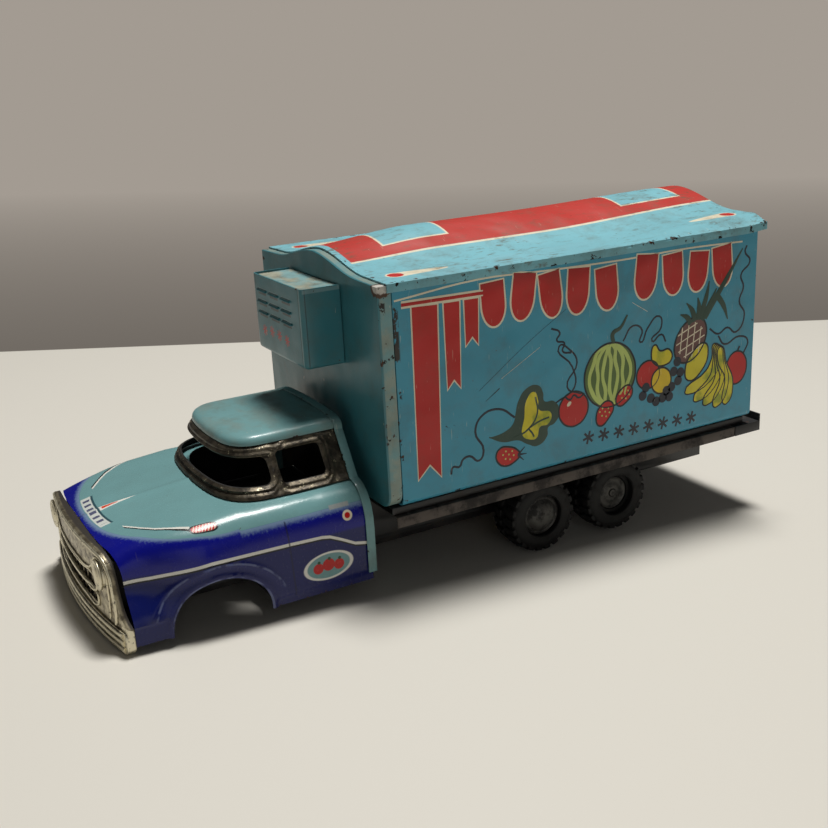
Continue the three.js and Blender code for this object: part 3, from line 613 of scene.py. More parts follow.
roof = {"front": 3.0, "rear": 150.3, "lip": 2.6, "fold": 1.2, "columns": 72, "rows": 90, "bentCorner": 0.7}
bm = bmesh.new()
bmesh.ops.create_grid(bm, x_segments=roof["columns"], y_segments=roof["rows"], size=1)
for v in bm.verts:
    v.co.x = size["roofSide"] * math.sin(v.co.x * math.pi / 2)
    v.co.y = roof["front"] + (v.co.y + 1) / 2 * (roof["rear"] - roof["front"])
    v.co.z = roofZ(v.co.x, v.co.y)
eaves = [e for e in bm.edges if e.is_boundary and not all(v.co.y < roof["front"] + 0.01 for v in e.verts)]
made = bmesh.ops.extrude_edge_only(bm, edges=eaves)["geom"]
bmesh.ops.translate(bm, vec=(0, 0, -roof["lip"]), verts=newVerts(made))
soften(bm, eaves, roof["fold"])
for v in bm.verts:     # the rear left corner has been knocked up and back
    near = ease((v.co.x - 35) / 9) * ease((v.co.y - 143) / 7)
    v.co.z += roof["bentCorner"] * near
    v.co.x += 0.5 * near
    v.co.y += 0.7 * near
faceOut(bm)
piece("roof_sheet", thicken(bm, size["tin"]), "root", [roofPaint], ("box_roof",), smooth=40)
print("box made")

cooler = {"half": 19.2, "front": -13.3, "depth": 13, "low": 41, "high": 66, "round": 1.5, "louvre": 7.2,
          "rows": (61.5, 57.9, 54.3), "columns": (-15.5, -5.9, 3.7), "stars": (-8.5, -2.5, 3.5, 9.5)}


def coolerPaintMade(name, lid=False):
    r = Recipe(name)
    across = r.size(r.x)
    colour = inks["frontBlue"]
    if lid:
        # the lid is paler than the body: dust and wear, and painted light on its upward face
        film = r.step(r.noise(6, 5, 0.6, away=(2, 1, 5)), 0.4, 0.62)
        colour = r.blend(film, tint(132, 170, 172), tint(168, 170, 152))
    else:
        facing = r.step(r.y, -12.9, -13.2)
        mark, slots, lipHighlights, columns = 0.0, 0.0, 0.0, 0.0
        for x in cooler["stars"]:    # a row of small red frost stars in place of words
            u, v = x - 3.6, 48.9 - 0.10 * abs(x)
            arms, rise = r.size(r.x - u), r.size(r.z - v)
            cross = 1 - r.step(r.least(r.least(arms, rise), r.size(arms - rise) * 0.7), 0.18, 0.34)
            mark = r.most(mark, r.disc(r.x, r.z, (u, v), 1.9, 0.1) * cross)
        colour = r.blend(mark * facing * 0.95, colour, inks["red"])
        for z in cooler["rows"]:
            slots = slots + r.between(r.z, z - 1.75, z - 0.85, 0.12)
            lipHighlights = lipHighlights + r.between(r.z, z - 0.15, z + 0.35, 0.12)
        for x in cooler["columns"]:
            columns = columns + r.between(r.x, x + 0.3, x + 6.9, 0.15)
        # painted shade in the slot under each louvre lip
        colour = r.blend(slots * columns * facing * 0.85, colour, inks["dark"])
        # painted highlight along the top of each louvre lip
        colour = r.blend(lipHighlights * columns * r.step(r.y, -12.7, -13.0) * 0.7, colour, tint(150, 178, 180))
        flank = r.step(across, 18.8, 19.1)
        seam = r.between(across, 17.0, 17.35, 0.1) * facing + r.between(r.y, -12.1, -11.8, 0.08) * flank
        colour = r.blend(seam * 0.75, colour, tint(18, 40, 46))
        # painted highlight on the rounded front corners and along the top of each flank
        edgeHighlight = r.between(across, 17.4, 18.1, 0.12) * facing + r.between(r.z, 64.6, 65.8, 0.15) * flank
        colour = r.blend(edgeHighlight * 0.4, colour, tint(150, 176, 178))
    atSide, atFront = r.step(across, 18, 19), r.step(r.y, -12.2, -13)
    atEnds = r.step(r.z, 42.2, 41.2) + r.step(r.z, 65, 66)
    edges = atSide * atFront + atSide * atEnds + atFront * atEnds
    return aged(r, colour, 0.32, 0.9, 0.75 if lid else 0.2, r.least(edges, 1.0), coat=0.3)


coolerPaint = coolerPaintMade("cooler_paint")
lidPaint = coolerPaintMade("cooler_lid_paint", True)
bm = bmesh.new()
bmesh.ops.create_cube(bm, size=1)
bmesh.ops.scale(bm, vec=(2 * cooler["half"], cooler["depth"], cooler["high"] - cooler["low"]), verts=bm.verts)
bmesh.ops.translate(bm, vec=(0, cooler["front"] + cooler["depth"] / 2, (cooler["high"] + cooler["low"]) / 2),
                    verts=bm.verts)
openings = [f for f in bm.faces if f.normal.z > 0.9 or f.normal.y > 0.9]
bmesh.ops.delete(bm, geom=openings, context="FACES_ONLY")
soften(bm, [e for e in bm.edges if len(e.link_faces) == 2], cooler["round"])
bmesh.ops.subdivide_edges(bm, edges=[e for e in bm.edges if e.calc_length() > 8], cuts=6, use_grid_fill=True)
coolerCase = thicken(bm, size["tin"])
for z in cooler["rows"]:
    for x in cooler["columns"]:
        low = (x, cooler["front"] - 0.75, z - 0.75)
        scoop = roundedBlock(low, (x + cooler["louvre"], cooler["front"] + 0.3, z + 0.15), 0.3)
        for v in scoop.verts:      # the lower lip stands out, the upper edge runs back into the sheet
            v.co.y += 0.55 * ease((v.co.z - (z - 0.6)) / 0.8)
        pour(coolerCase, scoop)
piece("cooler_body", coolerCase, "root", [coolerPaint], ("cooler_case",), smooth=40)

bm = bmesh.new()
bmesh.ops.create_grid(bm, x_segments=24, y_segments=10, size=1)
for v in bm.verts:
    u, w = v.co.x, v.co.y
    sag = 0.55 * (1 - u * u) * (1 - w * w) + 0.25 * ease((abs(u) - 0.94) / 0.06)
    v.co = (18.4 * u, -6.4 + 6.1 * w, 65.65 - sag)
piece("cooler_lid_sheet", thicken(bm, 0.4), "root", [lidPaint], ("cooler_lid",), smooth=50)
print("cooler made")

cab = {"columns": 118, "archCentre": -54, "archHalf": 15, "archFoot": -21, "archRise": 12.2, "lip": 0.45,
       "roll": 0.42, "step": 0.5, "crease": 0.34, "creaseHalf": 1.8, "belt": 8.2}
bowLine = [(0, -47.4), (4, -47.35), (8, -47.15), (12, -46.9)]     # plan of the screen, from the middle out
bowTurn = ((12, -46.9), (24, -45.9), (31, -42.4), (31, -31.4))


def bonnet(p):
    along = min(max((-46 - p.y) / 36.6, 0), 1)
    top = cab["belt"] - 3.2 * along - 1.7 * along ** 6
    narrowing = 0.15 * ease((-58 - p.y) / 24.6) * ease((p.z + 17.3) / 12)
    bow = min((size["bodyRear"] - p.y) / (size["bodyRear"] - size["nose"]), 1)
    p.y += 2.8 * (p.x / size["bodySide"]) ** 4 * bow
    p.x *= 1 - narrowing
    if p.z > -6:
        p.z = -6 + (p.z + 6) * (top + 6) / 14.2
    return p


side = [(size["bodySide"], -22.3 + 17.3 * i / 26) for i in range(26)]
shoulder = curved((40.3, -5), (40.3, 3.5), (36.5, 7.4), (31.5, 8.0), 22)
deck = [(31.5 * (1 - i / 26), 8.0 + 0.2 * i / 26) for i in range(1, 27)]
half = side + shoulder + deck
whole = [(-x, z) for x, z in half] + half[-2::-1]
count = cab["columns"]
stride = (size["bodyRear"] - size["nose"]) / count
bm = drawnFrom([(x, size["nose"], z) for x, z in whole], (0, stride, 0), count)
for v in bm.verts:
    v.co = bonnet(v.co.copy())


def archDistance(y, z):
    # rough distance outside the wheel arch opening
    u = (y - cab["archCentre"]) / cab["archHalf"]
    w = (z - cab["archFoot"]) / cab["archRise"]
    if w < 0:
        return (abs(u) - 1) * cab["archHalf"]
    return (math.hypot(u, w) - 1) * (cab["archHalf"] * cab["archRise"]) ** 0.5


def hump(value, width):
    return math.exp(-(value / width) ** 2)


faceOut(bm)
bm.normal_update()
for v in bm.verts:
    y, z, out = v.co.y, v.co.z, (1 if v.co.x > 0 else -1)
    if abs(v.co.x) > 30 and z < 0:
        d = archDistance(y, z)
        bead = cab["lip"] * hump(d - 1.0, 0.7)          # rolled lip of the arch
        crest = cab["roll"] * hump(d - 4.6 - 1.4 * ease((y + 66) / -9), 0.7) * ease((z + 17.5) / 4)
        skirt = -cab["step"] * ease((-16.2 - z) / 0.9) * ease((-69.5 - y) / 1.0)  # foot ahead of the arch
        sill = -cab["step"] * ease((-19.2 - z) / 0.8) * ease((y + 38.5) / 1.5)
        v.co.x += out * (bead + crest + skirt + sill)
    if z > 1.5 and abs(v.co.x) < cab["creaseHalf"]:      # centre crease of the bonnet
        v.co.z += cab["crease"] * (1 - abs(v.co.x) / cab["creaseHalf"])
shell = thicken(bm, size["tin"], inner=1)
archPoints = [(cab["archCentre"] + cab["archHalf"] * math.cos(turn), cab["archFoot"] + cab["archRise"] * math.sin(turn))
              for turn in [math.pi * i / 28 for i in range(29)]]
archPoints = [(archPoints[0][0], -24)] + archPoints + [(archPoints[-1][0], -24)]
archCutter = slab([(-50, y, z) for y, z in archPoints], (100, 0, 0))
footHalf = bowLine + curved(*bowTurn, 16)[1:] + [(31, size["bodyRear"])]
shrink, rear = 0.905, size["bodyRear"]      # the opening in the deck stays inside the window frame's foot
opening = mirrored([(x * shrink, rear + (y - rear) * shrink) for x, y in footHalf])
opening = [(x, y if y < -6 else 2) for x, y in opening]
deckCutter = slab([(x, y, 0) for x, y in opening], (0, 0, 20))
shell = carve(shell, archCutter, deckCutter)


cabPrint = {
    "stripe": [(-85, -4.9), (-72.6, -4.7), (-56.2, -3.2), (-31.8, -3.7), (-21.6, -4.1), (-19, -4.6), (-15.5, -6.3),
               (-10.9, -8.8), (-7.1, -9.6), (-5, -9.6)],
    "flank": [(-75, 16.8), (-73.9, 18.5), (-70.5, 23.4), (-67.4, 27.3), (-63, 31), (-59.0, 33.6)],
    "fruits": ((-23.6, -13.9, 1.7), (-20.2, -13.3, 2.0), (-16.8, -13.9, 1.7)),
}


def cabPaintMade():
    r = Recipe("cab_two_tone")
    across = r.size(r.x)
    ahead = r.most(-46.3 - r.y, 0.0) * (1 / 34.2)
    inside = (1 - ((across * (1 / 37.9)) ** 2.5 + ahead ** 2.5)) * 15.0    # about mm inside the teal's edge
    steep = inside * (1 + 1.6 * r.step(r.y, -74, -60))
    front = r.step(r.y, -45.5, -46.5)
    above = r.z - 3.7
    reach = r.least(above * (1 - front) + steep * front, 40.0)
    wobble = (r.noise(5, 3) - 0.5) * 0.5
    high = r.step(r.z, -3.5, -2.5)
    teal = r.step(reach + wobble * 0.4, -0.12, 0.12) * high
    speckle = r.noise(0.7, 3, 0.7, away=(4, 1, 7)) * 1.6 + 0.2
    pale = r.step(reach * speckle, -2.1, -0.15) * (1 - teal) * high
    # the navy is darker under the side stripe: painted shade on the lower side, while the upper side turns up to the
    # light
    shadedBelow = r.step(r.z, -3.2, -4.4)
    navy = r.blend(shadedBelow, inks["navy"], inks["navyLow"])
    colour = r.blend(pale * 0.62, navy, tint(142, 170, 186))
    colour = r.blend(teal, colour, inks["cabTeal"])
    # side stripe with its dark underline
    fall = r.z - r.follow(r.y, cabPrint["stripe"])
    onSide = r.step(across, 30, 31)
    colour = r.blend(r.between(fall, -0.95, -0.4, 0.12) * onSide, colour, inks["black"])
    colour = r.blend(r.between(fall, -0.45, 0.5, 0.1) * onSide, colour, inks["white"])
    # bonnet flank: thin pale stripe with a dark shadow, ending in a hatched lozenge
    aside = across - r.follow(r.y, cabPrint["flank"])
    run = r.between(r.y, -74.2, -59, 0.15) * r.step(r.z, 0, 1)
    colour = r.blend(r.between(aside, 0.4, 1.3, 0.12) * run, colour, inks["black"])
    colour = r.blend(r.between(aside, -0.65, 0.45, 0.1) * run, colour, inks["white"])
    lozenge = r.size(across - 34.9 - (r.y + 55.5) * 0.12) * (1 / 1.5)
    oval = ((r.size(r.y + 55.5) * (1 / 4.1)) ** 4.0 + lozenge ** 2.0) ** 0.5
    onTop = r.step(r.z, 1, 2)
    colour = r.blend((1 - r.step(oval, 1.0, 1.12)) * onTop, colour, inks["black"])
    hatch = r.step(r.wave((r.y + across * 0.5) * 6.6), -0.95, -0.5)
    colour = r.blend((1 - r.step(oval, 0.74, 0.84)) * onTop, colour, r.blend(hatch, inks["cream"], inks["red"]))
    # dart on the nose and the crescent of vent slots ahead of it
    dart = (r.y + 76.5) * (1 / 11.5)
    wide = r.between(dart, 0.0, 1.0, 0.02) * (1 - r.step(across - 1.5 * (1 - dart), -0.1, 0.12)) * onTop
    core = r.between(dart, 0.06, 0.5, 0.02) * (1 - r.step(across - 0.9 * (1 - dart * 1.6), -0.1, 0.12)) * onTop
    nose = r.step(r.y, -70, -72) * high
    middle = r.between(r.x, -12.5, 12.5, 0.2) * nose
    crescent = r.between(inside, 0.3, 3.4, 0.12) * middle
    rimLine = r.between(inside, 3.3, 3.95, 0.1) * middle
    slots = r.between(inside, 0.8, 2.9, 0.12) * r.step(r.wave(r.x * 1.75), 0.05, 0.3) * r.between(r.x, -11, 11, 0.2)
    colour = r.blend(crescent * 0.75, colour, inks["white"])
    colour = r.blend(slots * nose * 0.85, colour, inks["navyLow"])
    colour = r.blend(rimLine * 0.9, colour, tint(30, 62, 74))
    colour = r.blend(wide, colour, inks["white"])
    colour = r.blend(core, colour, tint(206, 70, 40))
    # door: gap line, handle, red button with a ring, and a pale oval with three red fruits
    doorGap = r.between(r.y + (r.z + 8) * 0.05, -32.1, -31.6, 0.1) * r.between(r.z, -20.5, 3.2, 0.3) * onSide
    colour = r.blend(doorGap * 0.7, colour, tint(12, 14, 48))
    handle = r.between(r.y, -17.8, -11.4, 0.15) * r.between(r.z, 3.2, 4.4, 0.12) * onSide
    colour = r.blend(handle, colour, tint(150, 156, 156))
    colour = r.blend(r.disc(r.y, r.z, (-12.6, 0.6), 1.6) * onSide, colour, inks["cream"])
    colour = r.blend(r.disc(r.y, r.z, (-12.6, 0.6), 0.9) * onSide, colour, inks["red"])
    rise = r.size(r.z + 13.6 - (r.y + 20.2) * 0.02) * (1 / 4.4)
    badge = ((r.size(r.y + 20.2) * (1 / 8.1)) ** 2.0 + rise ** 2.0) ** 0.5
    colour = r.blend((1 - r.step(badge, 0.98, 1.04)) * onSide, colour, inks["white"])
    colour = r.blend((1 - r.step(badge, 0.84, 0.9)) * onSide, colour, inks["cabTeal"])
    for y, z, radius in cabPrint["fruits"]:
        colour = r.blend(r.disc(r.y, r.z, (y, z), radius) * onSide, colour, inks["red"])
        colour = r.blend(r.disc(r.y, r.z, (y + 0.3, z + 1.9), 0.5) * onSide, colour, tint(36, 70, 40))
    # worn pale lines on the arch lip and on its pressed crest
    archU = (r.y - cab["archCentre"]) * (1 / cab["archHalf"])
    archW = r.most(r.z - cab["archFoot"], 0.0) * (1 / cab["archRise"])
    archAway = ((archU ** 2.0 + archW ** 2.0) ** 0.5 - 1) * 13.5
    worn = r.step(r.noise(4, 3, away=(1, 9, 1)), 0.4, 0.55)
    crest = r.between(archAway, 4.4, 5.0, 0.2) * r.step(r.z, -17, -15)
    lipLine = r.between(archAway, -0.2, 0.55, 0.15) + crest
    colour = r.blend(lipLine * worn * onSide * 0.5, colour, tint(120, 130, 168))
    rims = r.step(r.z, -20, -22) + r.step(r.y, -79, -82)
    return aged(r, colour, 0.2, 0.6, 0.05, r.least(rims, 1.0), dents=0.8, coat=0.45, scratches=0.04, gleam=0.26)


cabPaint = cabPaintMade()
piece("cab_shell", shell, "root", [cabPaint, insideTinAndShade], ("cab_body",), smooth=38)
print("cab body made")

window = {"foot": 8.5, "top": 22.1, "steps": 40, "wall": 0.5, "bead": 0.75, "outerBead": 0.38, "rail": 0.35,
          "screen": ((-70, 11.6), (-31.0, 19.2), 2.2), "glass": ((-28, 11.0), (-13.5, 19.8), 1.6)}
fine = [(0, -47.4), (3, -47.37), (6, -47.28), (9, -47.1), (12, -46.9)] + curved(*bowTurn, 50)[1:]
fine += [(31, -31.4 + 26.1 * i / 54) for i in range(1, 55)]
rise = (window["top"] - window["foot"]) / window["steps"]
bm = drawnFrom([(x, y, window["foot"]) for x, y in mirrored(fine)], (0, 0, rise), window["steps"])


def roundedDistance(u, v, centre, halfSize, radius):
    du = abs(u - centre[0]) - halfSize[0] + radius
    dv = abs(v - centre[1]) - halfSize[1] + radius
    return math.hypot(max(du, 0), max(dv, 0)) + min(max(du, dv), 0) - radius


def windowDistance(y, z):
    screen = roundedDistance(y, z, (-50.5, 15.4), (19.6, 3.8), 2.4)
    glass = roundedDistance(y, z, (-20.75, 15.4), (7.25, 4.4), 1.6)
    return min(screen, glass)


bm.normal_update()
for v in bm.verts:
    up = (v.co.z - window["foot"]) / 12.9
    d = windowDistance(v.co.y, v.co.z)
    out = Vector((v.co.x / 31, -0.9 if v.co.y < -40 else -0.25 * ease((-28 - v.co.y) / 10), 0))
    out = out.normalized() if out.length > 0.2 else Vector((1 if v.co.x > 0 else -1, 0, 0))
    bead = window["bead"] * hump(d - 0.7, 0.45) + window["outerBead"] * hump(d - 2.15, 0.42)
    foot = 0.8 * ease((10.4 - v.co.z) / 1.9)
    rail = window["rail"] * hump(v.co.z - 20.9, 0.5)
    hollow = -0.12 * ease(d / 1.6 - 1)
    x = v.co.x * (1 + up * (45.4 / 62 - 1))
    y = -5.3 + (v.co.y + 5.3) * (1 + up * (37.1 / 42.1 - 1))
    v.co = Vector((x, y, v.co.z)) + out * (bead + foot + rail + hollow - 0.1)
topEdges = [e for e in bm.edges if e.is_boundary and all(v.co.z > window["top"] - 0.01 for v in e.verts)]
flange = newVerts(bmesh.ops.extrude_edge_only(bm, edges=topEdges)["geom"])
bmesh.ops.translate(bm, vec=(0, 5.3, 0), verts=flange)
bmesh.ops.scale(bm, vec=(0.88, 0.92, 1), verts=flange)
bmesh.ops.translate(bm, vec=(0, -5.3, 0.05), verts=flange)
bmesh.ops.recalc_face_normals(bm, faces=bm.faces)
if sum(f.normal.x * f.calc_center_median().x for f in bm.faces) < 0:
    bmesh.ops.reverse_faces(bm, faces=bm.faces)
frameWall = thicken(bm, window["wall"], inner=1)


def roundedRect(low, high, radius, count=6):
    (left, bottom), (right, top) = low, high
    points = []
    for cx, cy, start in ((right - radius, bottom + radius, -90), (right - radius, top - radius, 0),
                          (left + radius, top - radius, 90), (left + radius, bottom + radius, 180)):
        for i in range(count + 1):
            a = math.radians(start + 90 * i / count)
            points.append((cx + radius * math.cos(a), cy + radius * math.sin(a)))
    return points


cutters = [slab([(-50, y, z) for y, z in roundedRect(*window[key])], (100, 0, 0)) for key in ("screen", "glass")]
frameWall = carve(frameWall, *cutters)
piece("window_surround", frameWall, "root", [windowMetal, insideTinAndShade], ("window_frame",), smooth=45)
print("window frame made")

# rings are (inward, up), from the eave to the crown
cabRoof = {"side": 22.3, "foot": 22.3, "centre": 8, "reach": 49.6,
           "rings": ((0, 0.6), (0.2, 0.75), (0.4, 0.65), (0.7, 0.55), (1.2, 0.38), (2.2, 0.26), (3.2, 0.14),
                     (5.0, 0.06))}
roofHalf = [(0, -41.6), (4, -41.55), (8, -41.3), (13, -40.7)]
roofHalf += curved((13, -40.7), (19, -39.6), (22.3, -36.6), (22.3, -30.6), 12)[1:]
roofHalf += [(cabRoof["side"], y) for y in (-24, -14, -4, 8)]
bm = bmesh.new()
edges = outlineEdges(bm, [(x, y, cabRoof["foot"]) for x, y in mirrored(roofHalf)])
inward = 0.0
for deeper, rise in cabRoof["rings"]:
    made = bmesh.ops.extrude_edge_only(bm, edges=edges)["geom"]
    verts = newVerts(made)
    narrow, shorten = (1 - deeper / (whole - inward) for whole in (cabRoof["side"], cabRoof["reach"]))
    bmesh.ops.translate(bm, vec=(0, -cabRoof["centre"], rise), verts=verts)
    bmesh.ops.scale(bm, vec=(narrow, shorten, 1), verts=verts)
    bmesh.ops.translate(bm, vec=(0, cabRoof["centre"], 0), verts=verts)
    inward += deeper
    edges = [g for g in made if isinstance(g, bmesh.types.BMEdge) and len(g.link_faces) == 1]
bmesh.ops.contextual_create(bm, geom=edges)
bmesh.ops.bisect_plane(bm, geom=list(bm.verts) + list(bm.edges) + list(bm.faces),
                       plane_co=(0, size["bodyRear"], 0), plane_no=(0, 1, 0), clear_outer=True)
faceOut(bm)


def cabRoofPaintMade():
    r = Recipe("cab_roof_paint")
    smear = r.step(r.noise(9, 5, 0.6, stretch=(1.4, 0.8, 1)), 0.42, 0.66)
    colour = r.blend(smear * 0.4, inks["cabTeal"], tint(126, 128, 116))
    rims = r.step(r.z, 23.0, 22.3)
    return aged(r, colour, 0.3, 0.5, 0.35, r.least(rims, 1.0), dents=0.6, coat=0.4)


piece("cab_roof_sheet", thicken(bm, size["tin"], inner=1), "root", [cabRoofPaintMade(), insideTinAndShade], ("cab_roof",),
      smooth=50)


def backPaintMade():
    r = Recipe("cab_back_paint")
    reach = r.size(r.x) + r.most(r.z - 8.5, 0.0) * 0.65
    # the inner face seen through the windows is painted dark as the shade inside the cab
    hidden = r.step(r.y, -4.7, -4.85) * (1 - r.step(reach, 28.8, 29.3)) * (1 - r.step(r.z, 19.8, 20.2))
    colour = r.blend(hidden, inks["cabTeal"], tint(26, 25, 24))      # painted shade inside the cab
    return aged(r, colour, 0.32, 0.8, 0.35, r.step(r.y, -6.4, -7.2), coat=0.4)


piece("cab_back", sheetCopy("cab_back_panel", 0.2), "root", [backPaintMade()], ("cab_back_panel",))

grille = {
    "front": -86.1, "bumperFront": -86.35, "bow": 4.2, "lampX": 27, "lampZ": -3.6, "lens": 2.9,
    "bumperRibs": (-22.9, -20.7, -18.5), "slots": ((-14.6, -11.2), (-9.8, -6.4)),
    "bezels": ((4.1, 0.5, -0.9), (3.0, 0.28, -1.15)), "bars": [4.2 * i - 21 for i in range(11)],
    "border": [(34.2, -16.4), (35.0, -12), (34.4, -7), (33.6, -2), (30.5, 1.6), (24, 2.6), (12, 2.8), (0, 2.9)],
    "inner": [(30.5, -16), (31.4, -10.5), (31.6, -5.8), (31.0, -1.6), (28.0, 0.9), (24.0, 0.5), (21.6, -2.4),
              (17, -4.6), (8, -4.9), (0, -5)],
}


def bowed(x, z, out, base=grille["front"]):
    return (x, base + grille["bow"] * (x / size["bodySide"]) ** 2 + out, z)


front = sheetCopy("grille_and_bumper", 0.22)
for z in grille["bumperRibs"]:
    pour(front, strand([bowed(38.6 * i / 5, z, 0, grille["bumperFront"]) for i in range(-5, 6)], 1.0, resolution=4))
for low, high in grille["slots"]:
    lower = [(x, low - (0.3 if abs(x) > 20 else 0.5)) for x in (-22.3, -11, 0, 11, 22.3)]
    upper = [(x, high + (0.3 if abs(x) > 20 else 0.5)) for x in (22.3, 11, 0, -11, -22.3)]
    loop = lower + [(23, (low + high) / 2)] + upper + [(-23, (low + high) / 2)]
    pour(front, strand([bowed(x, z, -0.05) for x, z in loop], 0.45, closed=True, resolution=5))
for key, out, thick in (("border", -0.05, 0.6), ("inner", -0.1, 0.42)):
    half = grille[key]
    line = half + [(-x, z) for x, z in half[-2::-1]]
    pour(front, strand([bowed(x, z, out) for x, z in line], thick, resolution=6))
for sideways in (-1, 1):
    x, y, z = bowed(sideways * grille["lampX"], grille["lampZ"], 0)
    for radius, thick, out in grille["bezels"]:
        circle = [(x + radius * math.cos(a), y + out, z + radius * math.sin(a)) for a in
                  [math.pi / 4 * i for i in range(8)]]
        pour(front, strand(circle, thick, closed=True, resolution=8))
    lens = bmesh.new()
    bmesh.ops.create_uvsphere(lens, u_segments=24, v_segments=12, radius=grille["lens"])
    bmesh.ops.scale(lens, vec=(1, 0.32, 1), verts=lens.verts)
    pour(front, lens, matrix=Matrix.Translation((x, y - 0.95, z)))
for x in grille["bars"]:      # upright bars seen in the mouth
    pour(front, strand([bowed(x, z, out) for z, out in ((-15.4, 1.1), (-10.4, 0.9), (-5.6, 1.1))], 0.32, resolution=3))
piece("grille_pressing", front, "root", [platedTin], ("grille_and_bumper",), smooth=45)
print("cab made")

for name, node, edge, finish, slot in (
        ("floor_pan", "box_floor", 0.15, blackTin, "black_tin"), ("bed_rails", "bed_sheet", 0.18, bedMetal, "bed_edge"),
        ("sill_step", "rear_sill", 0.18, blackTin, "black_tin"),
        ("chassis_channel", "chassis", 0.12, blackTin, "black_tin"),
        ("rear_pan", "box_rear_panel", 0.2, frontPaint, "box_teal"),
        ("door_leaf", "rear_door", 0.14, doorPaint, "box_teal")):
    piece(name, sheetCopy(node, edge), "door" if node == "rear_door" else "root", [finish], (node,))

# wheel profiles are (radius, x)
wheel = {
    "lugs": 22, "lug": (1.15, 11.2, 13.0), "lugRows": ((28.0, 33.0), (34.5, 39.5)), "slope": 0.55,
    "tyre": [(6, 27.5), (10.2, 27.5), (11.3, 27.9), (12.0, 28.9), (12.15, 31), (11.9, 33.0), (11.7, 33.75),
             (11.9, 34.5), (12.15, 36.5), (12.0, 38.6), (11.3, 39.5), (10.4, 39.9), (9.2, 40), (8.3, 39.75),
             (7.5, 39.9), (7.2, 39.6), (7.2, 37.4), (6, 37.4), (6, 27.5)],
    "disc": [(1.5, 27.5), (2.6, 27.5), (2.6, 35.6), (4.6, 35.6), (5.6, 35.8), (5.7, 37.1), (5.0, 36.6), (4.0, 36.5),
             (3.2, 36.9), (2.4, 37.1), (1.5, 37.1), (1.5, 27.5)],
    "cap": [(0, 37.7), (6.9, 37.7), (6.95, 38.1), (6.6, 38.5), (6.1, 38.7), (5.7, 38.5), (5.4, 38.7), (4.8, 39.5),
            (3.6, 40.2), (2.2, 40.55), (1.0, 40.68), (0, 40.7)],
}


def tyreMade(sideways, y):
    bm = turnedOnAxle(wheel["tyre"], 0, 0, sideways, 72)
    halfWide, foot, tip = wheel["lug"]
    for row, (x0, x1) in enumerate(wheel["lugRows"]):
        for i in range(wheel["lugs"]):
            lug = roundedBlock((x0, -halfWide, foot), (x1, halfWide, tip), 0.32, 2)
            for v in lug.verts:      # the shoulder end of a lug slopes down the side wall
                if abs(v.co.x - (x1 if row else x0)) < 1.2:
                    v.co.z -= wheel["slope"]
            if sideways < 0:
                bmesh.ops.transform(lug, matrix=Matrix.Diagonal((-1, 1, 1, 1)), verts=lug.verts)
                bmesh.ops.reverse_faces(lug, faces=lug.faces)
            pour(bm, lug, matrix=Matrix.Rotation(2 * math.pi * (i + 0.5 * row) / wheel["lugs"], 4, "X"))
    bmesh.ops.translate(bm, vec=(0, y, size["axle"]), verts=bm.verts)
    return bm


hands = (("left", 1), ("right", -1))
for axle, y in (("middle", size["middleAxle"]), ("rear", size["rearAxle"])):
    for hand, sideways in hands:
        spot = "%s_%s_" % (axle, hand)
        piece(spot + "lugged_tyre", tyreMade(sideways, y), axle + "_wheels", [rubber], (spot + "tyre",),
              smooth=35)
        piece(spot + "wheel_disc", turnedOnAxle(wheel["disc"], y, size["axle"], sideways, 48), axle + "_wheels",
              [hubMetalAndShade], (spot + "wheel",), smooth=35)
for hand, sideways in hands:
    piece(hand + "_domed_hubcap", turnedOnAxle(wheel["cap"], size["middleAxle"], size["axle"], sideways, 56),
          "middle_wheels", [hubMetalAndShade], (hand + "_hubcap",), smooth=35)
print("wheels made")

# hidden running gear keeps its CAD shape
bushes = ("middle_left_bush", "middle_right_bush", "rear_left_bush", "rear_right_bush")
for finish, names in (
        (hubMetalAndShade, ("middle_axle", "rear_axle")),
        (steel, ("idler_shaft", "flywheel_shaft", "door_hinge_pin", "motor_bracket", "flywheel") + bushes),
        (gearBrass, ("drive_gear", "idler_pinion", "idler_gear", "flywheel_pinion"))):
    for name in names:
        nodes[name].data.materials.clear()
        nodes[name].data.materials.append(finish)

# Generic market print: banners, bunting, frost stars and fruit. Points are (along, up) on the wall.
inkShades = {
    "red": (inks["red"], tint(140, 24, 24), lambda r: r.step(r.z, 60, 68)), "cream": (inks["cream"],),
    "black": (tint(16, 24, 28),),
    "yellow": (tint(214, 200, 40), tint(150, 160, 40), lambda r: r.step(r.noise(6, 3), 0.5, 0.7)),
    "leaf": (tint(44, 70, 58),), "melon": (tint(86, 110, 54),), "lime": (tint(186, 204, 112),),
    "brown": (tint(104, 70, 66),), "orange": (tint(228, 196, 30),), "night": (tint(22, 32, 48),),
}


def inkMade(name, colour, second=None, pattern=None):
    r = Recipe("ink_" + name)
    shade = r.blend(pattern(r), colour, second) if second else colour
    return aged(r, shade, 0.3, 0.45, 0.18, dents=1.0, coat=0.4)


printInks = [inkMade(name, *shades) for name, shades in inkShades.items()]
inkSlot = {name: i for i, name in enumerate(inkShades)}

